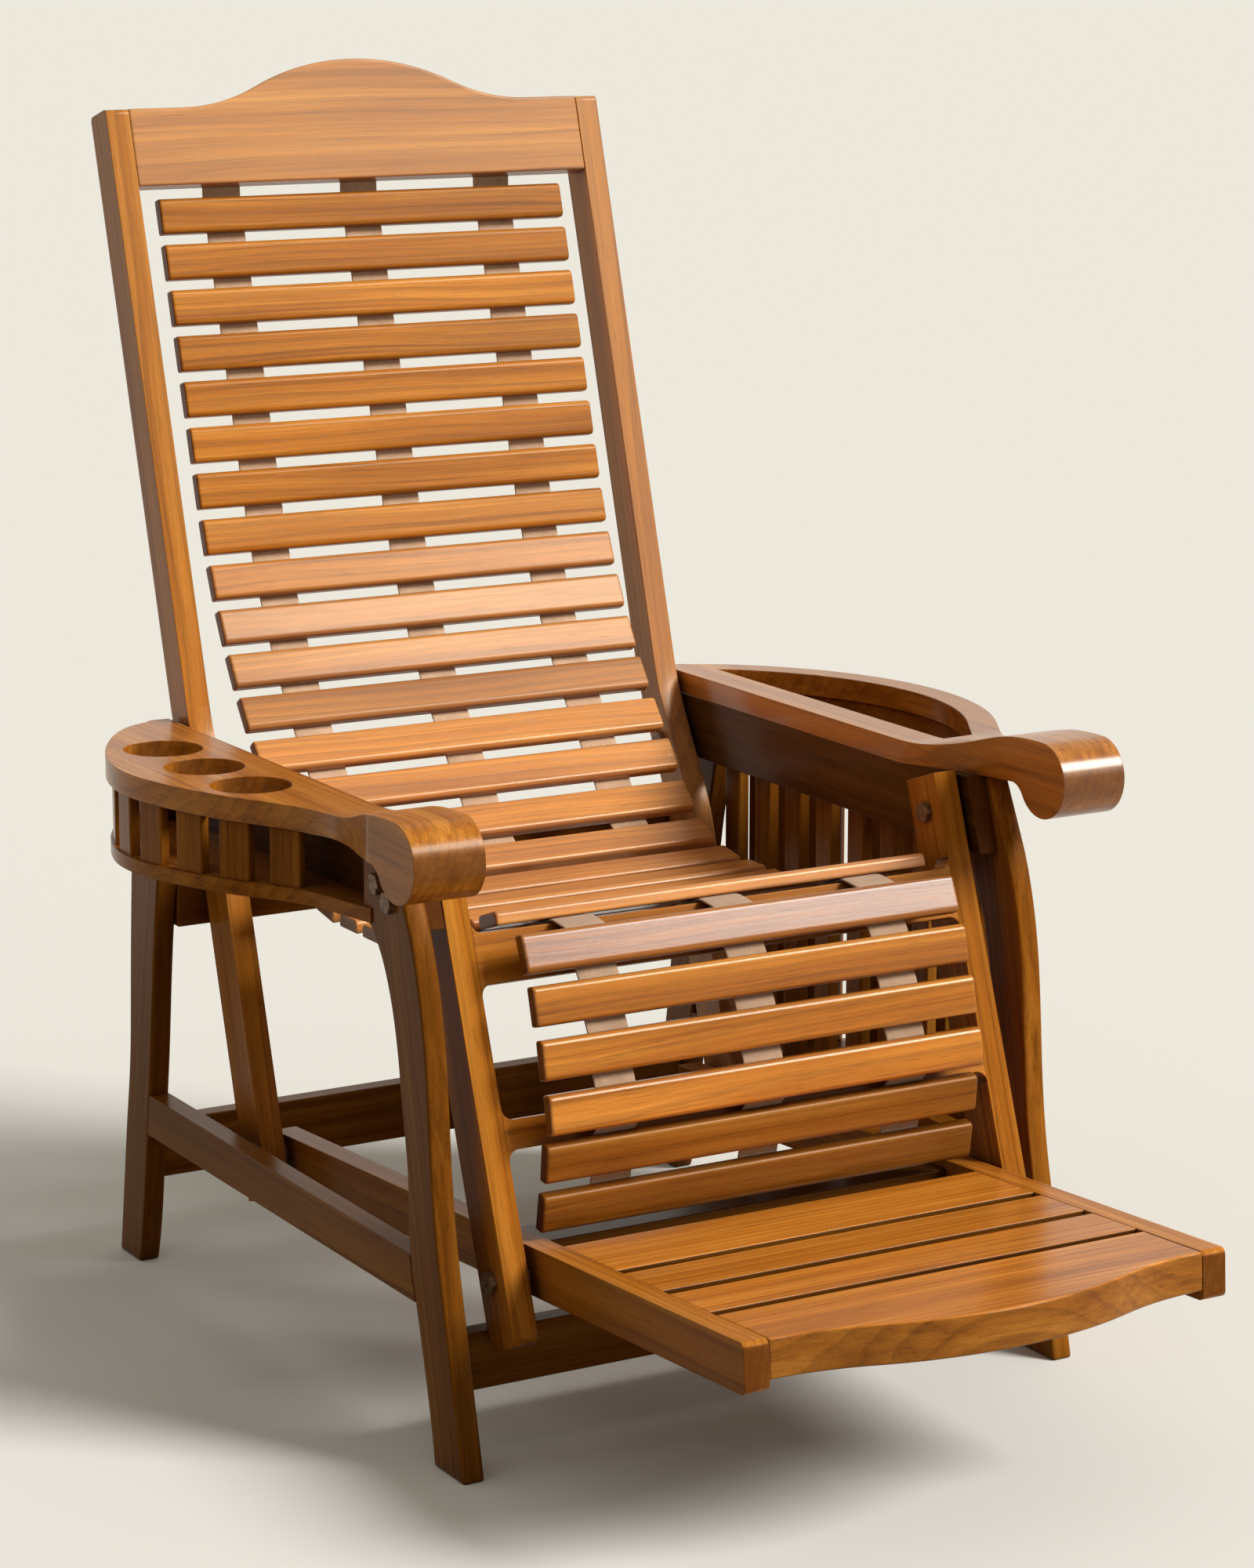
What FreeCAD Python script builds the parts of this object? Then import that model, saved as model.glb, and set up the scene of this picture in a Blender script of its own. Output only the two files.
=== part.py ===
# Planters chair: a reclining slatted easy chair with a cup holder arm and a magazine rack arm.
# The chair stands with its symmetry plane on YZ, its back towards +Y and +Z up, in millimetres.
# Outlines use chair places: y counts back from the toes of the front legs, z up from the floor.
import os
from math import atan2, cos, degrees, hypot, radians, sin, sqrt, tan

import FreeCAD
import Part
import Sketcher

Vector = FreeCAD.Vector
Rotation = FreeCAD.Rotation

os.makedirs("parts", exist_ok=True)
doc = FreeCAD.newDocument("PlantersChair")
sizes = doc.addObject("Spreadsheet::Sheet", "sizes")

# Driving sizes, all lengths in millimetres and all angles in degrees.
DRIVING_SIZES = {
    # Legs and low rails
    "half_width": 318,
    "leg_thick": 21,
    "arm_underside": 523,
    "front_leg_sweep": 118,
    "front_leg_reach": 178,
    "rear_leg_place": 590,
    "rear_leg_splay": 95,
    "rear_leg_wide": 80,
    "stretcher_bottom": 138,
    "stretcher_tall": 41,
    "cross_rail_thick": 22,
    "front_rail_place": 52,
    "front_rail_bottom": 62,
    "front_rail_tall": 52,
    "rear_rail_place": 671,
    "rear_rail_bottom": 88,
    "rear_rail_tall": 57,
    "stop_rail_bottom": 352,
    "stop_rail_tall": 60,
    "stop_gap": 0.6,
    # Arms
    "board_thick": 20,
    "board_bottom": 461,
    "board_front": 104,
    "arm_rear": 678,
    "arm_thick": 22,
    "arm_level_end": 240,
    "bulge_start": 672,
    "bulge_length": 482,
    "cup_bulge": 116,
    "rack_bulge": 152,
    "neck_width": 69,
    "scroll_inset": 16,
    "scroll_width": 67,
    "scroll_centre_place": 33,
    "scroll_centre_height": 542,
    "scroll_radius": 35,
    "scroll_hollow": 9,
    "scroll_slack": 6,
    "cup_radius": 37,
    "cup_pitch": 93,
    "cup_first": 548,
    "cup_inset": 43,
    "cup_shelf_front": 160,
    "shelf_thick": 20,
    "shelf_inset": 3,
    "cup_slat_wide": 34,
    "cup_slat_thick": 10,
    "cup_slat_pitch": 56,
    "cup_slat_start": 109,
    "cup_slat_inset": 6,
    "slat_inset": 9,
    "pocket_rim": 28,
    "pocket_inner_rim": 38,
    "band_tall": 32,
    "band_thick": 14,
    "rack_floor_bottom": 142,
    "rack_floor_thick": 18,
    "rack_slat_wide": 28,
    "rack_slat_thick": 12,
    "rack_slat_pitch": 57,
    "rack_slat_first": 217,
    "rack_slat_top": 506,
    "rack_curve_pitch": 60,
    "rack_curve_start": 92,
    # Slatted bed
    "slat_end_gap": 25,
    "slat_wide": 35,
    "slat_thick": 13,
    "slat_chamfer": 3,
    "back_pitch": 45,
    "seat_pitch": 47,
    "leg_pitch": 47,
    "seat_low_behind": 275.14,
    "seat_low_drop": 95.76,
    "back_lean": 16,
    "back_straight": 286,
    "waist_radius": 600,
    "waist_lean": 39,
    "waist_straight": 95,
    "seat_radius": 150,
    "seat_flat": 80,
    "front_radius": 250,
    "front_lean": 110,
    "strap_wide": 40,
    "strap_thick": 3,
    "strap_inset": 72.5,
    "strap_gap": 0.8,
    # Back frame
    "frame_side_gap": 5.5,
    "frame_thick": 24,
    "back_stile_deep": 38,
    "back_tail_deep": 47,
    "back_inset": 13,
    "back_tail_lean": 16.5,
    "back_tail_end": 42,
    "back_bend_above": 37,
    "back_bend_below": 86,
    "stile_round": 5,
    "crest_above": 30.2,
    "crest_tall": 76,
    "crest_rise": 44,
    "crest_thick": 24,
    "crest_shoulder": 58,
    # Linkage pivots
    "back_pivot_place": 632,
    "back_pivot_drop": 45,
    "leg_pivot_place": 150,
    "leg_pivot_drop": 27,
    "rest_pivot_place": 34,
    "rest_pivot_height": 164,
    "bolt_radius": 5,
    "bolt_fit": 0.06,
    "open_pin_fit": 0.4,
    "bolt_head_radius": 10,
    "bolt_head_tall": 5,
    "nut_radius": 9,
    "nut_tall": 6,
    "face_gap": 0.3,
    # Leg frame
    "leg_stile_deep": 47,
    "leg_stile_above": 33,
    "leg_stile_below": 58,
    "leg_stile_round": 12,
    "top_rail_tall": 45,
    "top_rail_drop": 55.3,
    "mid_rail_tall": 26,
    "mid_rail_drop": 217.4,
    "leg_rail_thick": 22,
    "rail_fillet": 10,
    "leg_bed_ahead": 47.6,
    "leg_bed_drop": 10,
    "frame_bolt_place": 127,
    "frame_bolt_drop": 39,
    "rear_bolt_place": 607,
    "rear_bolt_drop": 15,
    # Foot rest
    "rest_side_gap": 9.9,
    "rest_rail_thick": 23.6,
    "rest_rail_tall": 43,
    "rest_rail_round": 6,
    "rest_front": -321,
    "rest_front_height": 213,
    "rest_slope": 3.4,
    "rest_rear_reach": 24,
    "rest_board_wide": 67,
    "rest_board_thick": 16,
    "rest_slot": 8,
    "bow_deep": 82,
    "bow_bulge": 41,
    "bow_thick": 34,
    "cut_over": 10,
    "curve_fit": 0.4,
    "flat_limit": 0.05,
}

# Sizes that follow from the driving ones, as spreadsheet formulas.
DERIVED_SIZES = {
    "leg_inner": "half_width - leg_thick",
    "board_inner": "leg_inner - board_thick",
    "scroll_inner": "board_inner + scroll_inset",
    "scroll_outer": "scroll_inner + scroll_width",
    "neck_outer": "board_inner + neck_width",
    "frame_half_width": "board_inner - frame_side_gap",
    "frame_inner": "frame_half_width - frame_thick",
    "rest_half_width": "frame_inner - rest_side_gap",
    "slat_length": "2 * (frame_inner - slat_end_gap)",
    "strap_spread": "slat_length / 2 - strap_inset",
    "back_pivot_height": "arm_underside - back_pivot_drop",
    "leg_pivot_height": "arm_underside - leg_pivot_drop",
    "frame_bolt_height": "arm_underside - frame_bolt_drop",
    "rear_bolt_height": "arm_underside - rear_bolt_drop",
    "rest_inner": "rest_half_width - rest_rail_thick",
    "back_bend_top": "arm_underside + back_bend_above",
    "back_bend_bottom": "back_pivot_height - back_bend_below",
    "seat_low_place": "leg_pivot_place + seat_low_behind",
    "seat_low_height": "leg_pivot_height - seat_low_drop",
    "bed_top_place": "seat_low_place + seat_radius * cos(waist_lean) + waist_straight * sin(waist_lean)"
                     " + waist_radius * (cos(back_lean) - cos(waist_lean)) + back_straight * sin(back_lean)",
    "bed_top_height": "seat_low_height + seat_radius * (1 - sin(waist_lean)) + waist_straight * cos(waist_lean)"
                      " + waist_radius * (sin(waist_lean) - sin(back_lean)) + back_straight * cos(back_lean)",
    "crest_bottom": "bed_top_height + crest_above",
    "bow_front": "rest_front - bow_bulge * cos(rest_slope) - bow_thick * sin(rest_slope)",
    "crest_base": "bed_top_place - back_inset * cos(back_lean) + (crest_bottom - bed_top_height"
                  " - back_inset * sin(back_lean)) * tan(back_lean)",
    "rear_reach": "crest_base + (crest_tall + crest_rise) * sin(back_lean) + crest_thick * cos(back_lean)",
    "front_shift": "-(bow_front + rear_reach) / 2",
    "side_shift": "(cup_bulge - rack_bulge) / 2",
}


def fill_sheet():
    """Write every size with its name beside it and give its cell that name as alias."""
    row = 1
    for name, value in DRIVING_SIZES.items():
        sizes.set("A%d" % row, name)
        sizes.set("B%d" % row, str(value))
        sizes.setAlias("B%d" % row, name)
        row += 1
    for name, formula in DERIVED_SIZES.items():
        sizes.set("A%d" % row, name)
        sizes.set("B%d" % row, "=" + formula)
        sizes.setAlias("B%d" % row, name)
        row += 1
    doc.recompute()


fill_sheet()


def size(name):
    """Read one size back from the sheet."""
    return float(sizes.get(name))


def place_on_datum(item):
    """Stand a sub-part on the chair's datum, the centre of its footprint box."""
    item.setExpression("Placement.Base.x", "sizes.side_shift")
    item.setExpression("Placement.Base.y", "sizes.front_shift")
    return item


class Term:
    """A length from the sheet, kept both as a formula for binding and as a value."""

    def __init__(self, text, value):
        self.text = text
        self.value = value

    def join(self, mark, other, value):
        return Term("(%s %s %s)" % (self.text, mark, other.text), value)

    def __add__(self, other):
        return self.join("+", other, self.value + other.value)

    def __sub__(self, other):
        return self.join("-", other, self.value - other.value)

    def __mul__(self, share):
        return Term("(%s * %r)" % (self.text, share), self.value * share)

    def __truediv__(self, share):
        return Term("(%s / %r)" % (self.text, share), self.value / share)

    def __neg__(self):
        return Term("(-1 * %s)" % self.text, -self.value)


def term(name):
    """The term for one named size."""
    return Term("sizes." + name, size(name))


ZERO = Term("0", 0.0)


def bind(item, name, length):
    """Set a property and bind it to its formula."""
    item.setExpression(name, length.text)


# Bodies made from sketches

def origin_plane(body, role):
    """One of a body's own origin planes, found by its role."""
    return next(item for item in body.Origin.OriginFeatures if item.Role == role)


def start_sketch(body, role, name):
    """An empty sketch on one of the body's own planes."""
    sketch = body.newObject("Sketcher::SketchObject", name)
    sketch.AttachmentSupport = [(origin_plane(body, role), "")]
    sketch.MapMode = "FlatFace"
    return sketch


def pin_vertex(sketch, item, end, across, up):
    """Tie one end of a sketch edge to its place, both ways from the origin."""
    for kind, length in (("DistanceX", across), ("DistanceY", up)):
        rule = Sketcher.Constraint(kind, -1, 1, item, end, length.value)
        number = sketch.addConstraint(rule)
        sketch.setExpression("Constraints[%d]" % number, length.text)


def sketch_outline(body, role, corners, radii):
    """Draw a closed outline: corner terms, and for each side a radius term or None.

    A side with a radius is an arc. A positive radius bulges out of a loop drawn
    anticlockwise, and a negative one hollows into it.
    """
    sketch = start_sketch(body, role, "Outline")
    count = len(corners)
    ends = []
    for index in range(count):
        start = Vector(corners[index][0].value, corners[index][1].value, 0)
        stop_corner = corners[(index + 1) % count]
        stop = Vector(stop_corner[0].value, stop_corner[1].value, 0)
        radius = radii[index]
        if radius is None:
            sketch.addGeometry(Part.LineSegment(start, stop))
            ends.append((1, 2))
            continue
        chord = stop - start
        reach = abs(radius.value)
        rise = reach - sqrt(reach * reach - chord.Length * chord.Length / 4)
        outward = Vector(chord.y, -chord.x, 0).normalize()
        if radius.value < 0:
            outward = -outward
        middle = (start + stop) / 2 + outward * rise
        arc = Part.Arc(start, middle, stop).toShape()
        number = sketch.addGeometry(Part.ArcOfCircle(arc.Curve, *arc.ParameterRange))
        first_end = sketch.getPoint(number, 1)
        ends.append((1, 2) if first_end.distanceToPoint(start) < reach / 1000 else (2, 1))
    for index in range(count):
        following = (index + 1) % count
        rule = Sketcher.Constraint("Coincident", index, ends[index][1], following, ends[following][0])
        sketch.addConstraint(rule)
    for index in range(count):
        pin_vertex(sketch, index, ends[index][0], *corners[index])
    for index, radius in enumerate(radii):
        if radius is not None:
            number = sketch.addConstraint(Sketcher.Constraint("Radius", index, abs(radius.value)))
            text = radius.text if radius.value > 0 else "-1 * " + radius.text
            sketch.setExpression("Constraints[%d]" % number, text)
    return sketch


def pad(body, sketch, length):
    """Pad a sketch evenly to both sides of its plane."""
    feature = body.newObject("PartDesign::Pad", "Pad")
    feature.Profile = sketch
    feature.SideType = "Symmetric"
    bind(feature, "Length", length)
    doc.recompute()
    return feature


# How near to an axis an edge runs to count as lying along it
ALONG_SHARE = 0.999


def edges_along(shape, axis, side=None):
    """Names of the straight edges that run along an axis, on one side if that is given."""
    names = []
    for number, edge in enumerate(shape.Edges, 1):
        if side and edge.CenterOfMass.dot(side) < 0:
            continue
        if isinstance(edge.Curve, Part.Line) and abs(edge.Curve.Direction.dot(axis)) > ALONG_SHARE:
            names.append("Edge%d" % number)
    return names


def round_edges(body, names, radius):
    """Round the named edges of the body's tip."""
    base = body.Tip
    feature = body.newObject("PartDesign::Fillet", "Fillet")
    feature.Base = (base, names)
    bind(feature, "Radius", radius)
    doc.recompute()
    return feature


def chamfer_edges(body, names, width):
    """Chamfer the named edges of the body's tip."""
    base = body.Tip
    feature = body.newObject("PartDesign::Chamfer", "Chamfer")
    feature.Base = (base, names)
    bind(feature, "Size", width)
    doc.recompute()
    return feature


def drill(body, role, holes, radius):
    """Drill round holes right through, square to a plane, and check that they cut."""
    before = body.Tip.Shape.Volume
    sketch = start_sketch(body, role, "Holes")
    for index, (across, up) in enumerate(holes):
        middle = Vector(across.value, up.value, 0)
        sketch.addGeometry(Part.Circle(middle, Vector(0, 0, 1), radius.value))
        number = sketch.addConstraint(Sketcher.Constraint("Radius", index, radius.value))
        sketch.setExpression("Constraints[%d]" % number, radius.text)
        pin_vertex(sketch, index, 3, across, up)
    feature = body.newObject("PartDesign::Pocket", "Pocket")
    feature.Profile = sketch
    feature.Type = "ThroughAll"
    feature.SideType = "Symmetric"
    doc.recompute()
    if feature.Shape.Volume >= before:
        raise RuntimeError("a hole in %s cut nothing" % body.Label)
    return feature


def new_body(label):
    """An empty body with its node's name."""
    body = doc.addObject("PartDesign::Body", label)
    body.Label = label
    return body


def settle(item, x, y, z, lean=0.0):
    """Stand a sub-part at a chair place, its top leaned back by an angle."""
    shift = Vector(size("side_shift"), size("front_shift"), 0)
    turn = Rotation(Vector(1, 0, 0), -lean)
    item.Placement = FreeCAD.Placement(shift + Vector(x, y, z), turn)
    return item


def bar(label, x_size, y_size, z_size):
    """A square bar about its own middle."""
    body = new_body(label)
    half_y = y_size / 2
    half_z = z_size / 2
    corners = [(-half_y, -half_z), (half_y, -half_z), (half_y, half_z), (-half_y, half_z)]
    pad(body, sketch_outline(body, "YZ_Plane", corners, [None] * 4), x_size)
    return body


X_AXIS = Vector(1, 0, 0)
Y_AXIS = Vector(0, 1, 0)
Z_AXIS = Vector(0, 0, 1)

# Solids cut from curved outlines

def side_point(place, height):
    """A point of a side outline, in chair places."""
    return Vector(0, place, height)


def plan_point(across, place):
    """A point of a plan outline, in chair places."""
    return Vector(across, place, 0)


def smooth_curve(points):
    """A smooth curve through points."""
    curve = Part.BSplineCurve()
    curve.interpolate(Points=points)
    return curve


def run(points, first=None, last=None):
    """Edges through points: a line for two, otherwise a smooth run of arcs."""
    if len(points) == 2 and first is None:
        return [Part.LineSegment(*points).toShape()]
    if first is None:
        curve = smooth_curve(points)
    else:
        curve = Part.BSplineCurve()
        curve.interpolate(Points=points, InitialTangent=first, FinalTangent=last)
    edges = []
    start = points[0]
    pieces = curve.toBiArcs(size("curve_fit"))
    for piece in pieces:
        stop = points[-1] if piece is pieces[-1] else piece.EndPoint
        middle = piece.value((piece.FirstParameter + piece.LastParameter) / 2)
        if middle.distanceToLine(start, stop - start) < size("flat_limit"):
            edges.append(Part.LineSegment(start, stop).toShape())
        else:
            edges.append(Part.Arc(start, middle, stop).toShape())
        start = stop
    return edges


def arc(start, middle, stop):
    """An edge along a circle through three points, as a run of one."""
    return [Part.Arc(start, middle, stop).toShape()]


def solid_from(runs, along):
    """Close a ring of runs of edges, fill it and push it out along a vector."""
    edges = [edge for piece in runs for edge in piece]
    return Part.Face(Part.Wire(edges)).extrude(along)


def feature(label, shape):
    """A sub-part whose shape comes from curved outlines, on the chair's datum."""
    item = doc.addObject("Part::Feature", label)
    item.Label = label
    settled = shape.copy()
    settled.Placement = FreeCAD.Placement()
    settled.transformShape(shape.Placement.toMatrix(), True)
    item.Shape = settled
    return place_on_datum(item)


def mirrored(shape):
    """The same shape on the other side of the symmetry plane."""
    return shape.mirror(Vector(0, 0, 0), X_AXIS)


def box_between(low, high):
    """A box between two opposite corners."""
    span = high - low
    return Part.makeBox(span.x, span.y, span.z, low)


nodes = []

# The slatted bed's path, a chain of straight and curved stretches


def step_along(point, heading, length, radius):
    """Move along a straight (no radius) or curved stretch of the bed's face."""
    if not radius:
        move = Vector(0, -sin(radians(heading)), -cos(radians(heading)))
        return point + move * length, heading
    turned = heading + degrees(length / radius)
    across = cos(radians(turned)) - cos(radians(heading))
    down = sin(radians(turned)) - sin(radians(heading))
    return point + Vector(0, across, -down) * radius, turned


def curve_length(radius, start_lean, end_lean):
    """Length of a curved stretch that turns from one lean to another."""
    return size(radius) * radians(size(end_lean) - size(start_lean))


LEVEL_LEAN = 90
BED_STRETCHES = [
    (size("back_straight"), 0),
    (curve_length("waist_radius", "back_lean", "waist_lean"), size("waist_radius")),
    (size("waist_straight"), 0),
    (size("seat_radius") * radians(LEVEL_LEAN - size("waist_lean")), size("seat_radius")),
    (size("seat_flat"), 0),
    (size("front_radius") * radians(size("front_lean") - LEVEL_LEAN), size("front_radius")),
]


def bed_point(distance):
    """Place and lean of the bed's upper face at a distance from the first slat."""
    point = side_point(size("bed_top_place"), size("bed_top_height"))
    heading = size("back_lean")
    left = distance
    for length, radius in BED_STRETCHES:
        if left <= length:
            return step_along(point, heading, left, radius)
        point, heading = step_along(point, heading, length, radius)
        left -= length
    return step_along(point, heading, left, 0)


def behind(heading):
    """Unit vector from the bed's upper face into its thickness."""
    return Vector(0, cos(radians(heading)), -sin(radians(heading)))


def uphill(heading):
    """Unit vector up along the bed."""
    return Vector(0, sin(radians(heading)), cos(radians(heading)))


BACK_SLATS = 12
SEAT_REAR_SLATS = 6
SEAT_FRONT_SLATS = 6
LEG_SLATS = 6
SEAT_SLATS = SEAT_REAR_SLATS + SEAT_FRONT_SLATS


def bed_places():
    """Face point and lean of each back and seat slat, from the top down."""
    places = []
    distance = 0.0
    for number in range(BACK_SLATS + SEAT_SLATS):
        places.append(bed_point(distance))
        distance += size("back_pitch") if number < BACK_SLATS - 1 else size("seat_pitch")
    return places


# The leg bed hangs in short straight steps: lean of each slat, then of each step between slats
LEG_SLAT_LEANS = [24, 15, 11, 10, -5, -9]
LEG_STEP_LEANS = [24, 18, 15, -9, -9]


def leg_bed_places():
    """Face point and lean of each leg slat, from the top down."""
    point = top_rail_corner() - Vector(0, size("leg_bed_ahead"), size("leg_bed_drop"))
    places = [(point, LEG_SLAT_LEANS[0])]
    for step, lean in zip(LEG_STEP_LEANS, LEG_SLAT_LEANS[1:]):
        point = point - uphill(step) * size("leg_pitch")
        places.append((point, lean))
    return places


def slat(label, face, lean):
    """One bed slat, its upper face centred on a point of the bed."""
    body = bar(label, term("slat_length"), term("slat_thick"), term("slat_wide"))
    chamfer_edges(body, edges_along(body.Tip.Shape, X_AXIS, -Y_AXIS), term("slat_chamfer"))
    middle = face + behind(lean) * (size("slat_thick") / 2)
    return settle(body, 0, middle.y, middle.z, lean)


def strap_solids(places, lead=None, tail=None):
    """Three straps under a run of slats, flat behind each slat and straight between."""
    near = []
    far = []
    if lead:
        near.append(lead[0])
        far.append(lead[1])
    for face, lean in places:
        for share in (1, -1):
            edge = face + uphill(lean) * (share * size("slat_wide") / 2)
            near.append(edge + behind(lean) * size("slat_thick"))
            far.append(edge + behind(lean) * (size("slat_thick") + size("strap_thick")))
    if tail:
        near.append(tail[0])
        far.append(tail[1])
    outline = near + far[::-1]
    face = Part.Face(Part.makePolygon(outline + outline[:1]))
    half = size("strap_wide") / 2
    straps = []
    for share in (-1, 0, 1):
        strap = face.extrude(Vector(size("strap_wide"), 0, 0))
        strap.translate(Vector(share * size("strap_spread") - half, 0, 0))
        straps.append(strap.removeSplitter())
    return straps


def group(label, items):
    """Like pieces of one body that share a node."""
    compound = doc.addObject("Part::Compound", label)
    compound.Label = label
    compound.Links = items
    return compound


def make_bed():
    """Slats and straps of the back, the seat's two halves and the leg rest."""
    places = bed_places()
    back = places[:BACK_SLATS]
    rear = places[BACK_SLATS:BACK_SLATS + SEAT_REAR_SLATS]
    front = places[BACK_SLATS + SEAT_REAR_SLATS:]
    legs = leg_bed_places()
    for number, (face, lean) in enumerate(back, 1):
        nodes.append(slat("back_slat_%02d" % number, face, lean))
    for name, run_places in (("seat_rear_slats", rear), ("seat_front_slats", front)):
        pieces = [slat("%s_%d" % (name, number), face, lean)
                  for number, (face, lean) in enumerate(run_places, 1)]
        nodes.append(group(name, pieces))
    for number, (face, lean) in enumerate(legs, 1):
        nodes.append(slat("leg_slat_%d" % number, face, lean))
    back_tail, rear_lead = strap_joint(back[-1], rear[0])
    rear_tail, front_lead = strap_joint(rear[-1], front[0])
    nodes.append(feature("back_straps", Part.makeCompound(strap_solids(back, crest_lap(), back_tail))))
    nodes.append(feature("seat_rear_straps", Part.makeCompound(strap_solids(rear, rear_lead, rear_tail))))
    nodes.append(feature("seat_front_straps", Part.makeCompound(strap_solids(front, front_lead))))
    nodes.append(feature("leg_straps", Part.makeCompound(strap_solids(legs, rail_lap()))))


def strap_joint(upper, lower):
    """Where two runs of strap meet between their slats: the upper run's end, the lower run's start."""
    ends = []
    for depth in (size("slat_thick"), size("slat_thick") + size("strap_thick")):
        above = upper[0] - uphill(upper[1]) * (size("slat_wide") / 2) + behind(upper[1]) * depth
        below = lower[0] + uphill(lower[1]) * (size("slat_wide") / 2) + behind(lower[1]) * depth
        half_gap = (below - above).normalize() * (size("strap_gap") / 2)
        middle = (above + below) / 2
        ends.append((middle - half_gap, middle + half_gap))
    return (ends[0][0], ends[1][0]), (ends[0][1], ends[1][1])


def crest_lap():
    """Where the back straps end, flat on the rear face of the crest rail."""
    lean = size("back_lean")
    top = stile_front(size("crest_bottom")) + uphill(lean) * (size("crest_tall") / 2)
    near = top + behind(lean) * size("crest_thick")
    return near, near + behind(lean) * size("strap_thick")


def top_rail_corner():
    """Upper front corner of the leg frame's top rail."""
    return leg_point(-size("top_rail_drop")) - behind(leg_lean()) * (size("leg_stile_deep") / 2)


def rail_lap():
    """Where the leg straps end, at the front face of the leg frame's top rail."""
    lean = leg_lean()
    near = top_rail_corner() - behind(lean) * size("face_gap")
    return near, near - uphill(lean) * size("strap_thick")


# Back frame


def stile_front(height):
    """Point of the upper stile's front face at a height."""
    lean = size("back_lean")
    base = side_point(size("bed_top_place"), size("bed_top_height")) - behind(lean) * size("back_inset")
    return base + uphill(lean) * ((height - base.z) / cos(radians(lean)))


def rest_rear_pivot():
    """The pivot that makes the linkage a parallelogram."""
    return side_point(
        size("rest_pivot_place") + size("back_pivot_place") - size("leg_pivot_place"),
        size("rest_pivot_height") + size("back_pivot_height") - size("leg_pivot_height"))


def tail_point(height, offset):
    """Point of the stile's lower run at a height, offset forward from its middle line."""
    lean = size("back_tail_lean")
    base = rest_rear_pivot() - behind(lean) * offset
    return base + uphill(lean) * ((height - base.z) / cos(radians(lean)))


def stile_shape():
    """One back stile on the right: straight, bent at the arm and straight again."""
    lean = size("back_lean")
    tail_lean = size("back_tail_lean")
    top_front = stile_front(size("crest_bottom")) + uphill(lean) * size("crest_tall")
    deep = behind(lean) * size("back_stile_deep")
    bend_front = stile_front(size("back_bend_top"))
    half_tail = size("back_tail_deep") / 2
    low_front = tail_point(size("back_bend_bottom"), half_tail)
    low_rear = tail_point(size("back_bend_bottom"), -half_tail)
    foot = rest_rear_pivot() - uphill(tail_lean) * size("back_tail_end")
    foot_front = foot - behind(tail_lean) * half_tail
    foot_rear = foot + behind(tail_lean) * half_tail
    edges = [
        run([top_front, bend_front]),
        run([bend_front, low_front], -uphill(lean), -uphill(tail_lean)),
        run([low_front, foot_front]),
        run([foot_front, foot_rear]),
        run([foot_rear, low_rear]),
        run([low_rear, bend_front + deep], uphill(tail_lean), uphill(lean)),
        run([bend_front + deep, top_front + deep]),
        run([top_front + deep, top_front]),
    ]
    stile = solid_from(edges, Vector(size("frame_thick"), 0, 0))
    stile.translate(Vector(size("frame_inner"), 0, 0))
    corners = [edge for edge in stile.Edges
               if isinstance(edge.Curve, Part.Line)
               and abs(edge.Curve.Direction.dot(X_AXIS)) > ALONG_SHARE
               and edge.CenterOfMass.z > top_front.z - size("back_stile_deep")]
    stile = stile.makeFillet(size("stile_round"), corners)
    for pivot in (back_pivot(), rest_rear_pivot()):
        stile = stile.cut(bolt_hole(pivot, size("bolt_radius") + size("bolt_fit")))
    return stile


def back_pivot():
    """Where the back frame turns in the side frames."""
    return side_point(size("back_pivot_place"), size("back_pivot_height"))


def bolt_hole(pivot, radius):
    """A long drill along X through a side point, for cuts on the right side."""
    reach = size("half_width")
    return Part.makeCylinder(radius, reach, Vector(0, pivot.y, pivot.z), X_AXIS)


def make_back_frame():
    """Two stiles and the ogee crest rail between them."""
    stile = stile_shape()
    nodes.append(feature("back_stile_right", stile))
    nodes.append(feature("back_stile_left", mirrored(stile)))
    nodes.append(make_crest())


OGEE_SHARE = 0.58


def make_crest():
    """Crest rail: level shoulders, then a hollow and a round that meet in an ogee."""
    body = new_body("crest_rail")
    half = term("frame_inner")
    tall = term("crest_tall")
    rise = term("crest_rise")
    reach = half - term("crest_shoulder")
    both = Term("((%s * %s + %s * %s) / (2 * %s))" % (reach.text, reach.text, rise.text, rise.text, rise.text),
                (reach.value ** 2 + rise.value ** 2) / (2 * rise.value))
    round_radius = both * OGEE_SHARE
    hollow_radius = both * (1 - OGEE_SHARE)
    turn_x = reach * OGEE_SHARE
    turn_z = tall + rise - rise * OGEE_SHARE
    corners = [
        (-half, ZERO), (half, ZERO), (half, tall), (reach, tall),
        (turn_x, turn_z), (-turn_x, turn_z), (-reach, tall), (-half, tall),
    ]
    radii = [None, None, None, -hollow_radius, round_radius, -hollow_radius, None, None]
    pad(body, sketch_outline(body, "XZ_Plane", corners, radii), term("crest_thick"))
    lean = size("back_lean")
    middle = stile_front(size("crest_bottom")) + behind(lean) * (size("crest_thick") / 2)
    return settle(body, 0, middle.y, middle.z, lean)


# Leg frame


def leg_lean():
    """Lean of the leg frame, from its two pivots."""
    across = size("leg_pivot_place") - size("rest_pivot_place")
    up = size("leg_pivot_height") - size("rest_pivot_height")
    return degrees(atan2(across, up))


def leg_span():
    """Distance between the leg frame's two pivots."""
    return hypot(size("leg_pivot_place") - size("rest_pivot_place"),
                 size("leg_pivot_height") - size("rest_pivot_height"))


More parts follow.
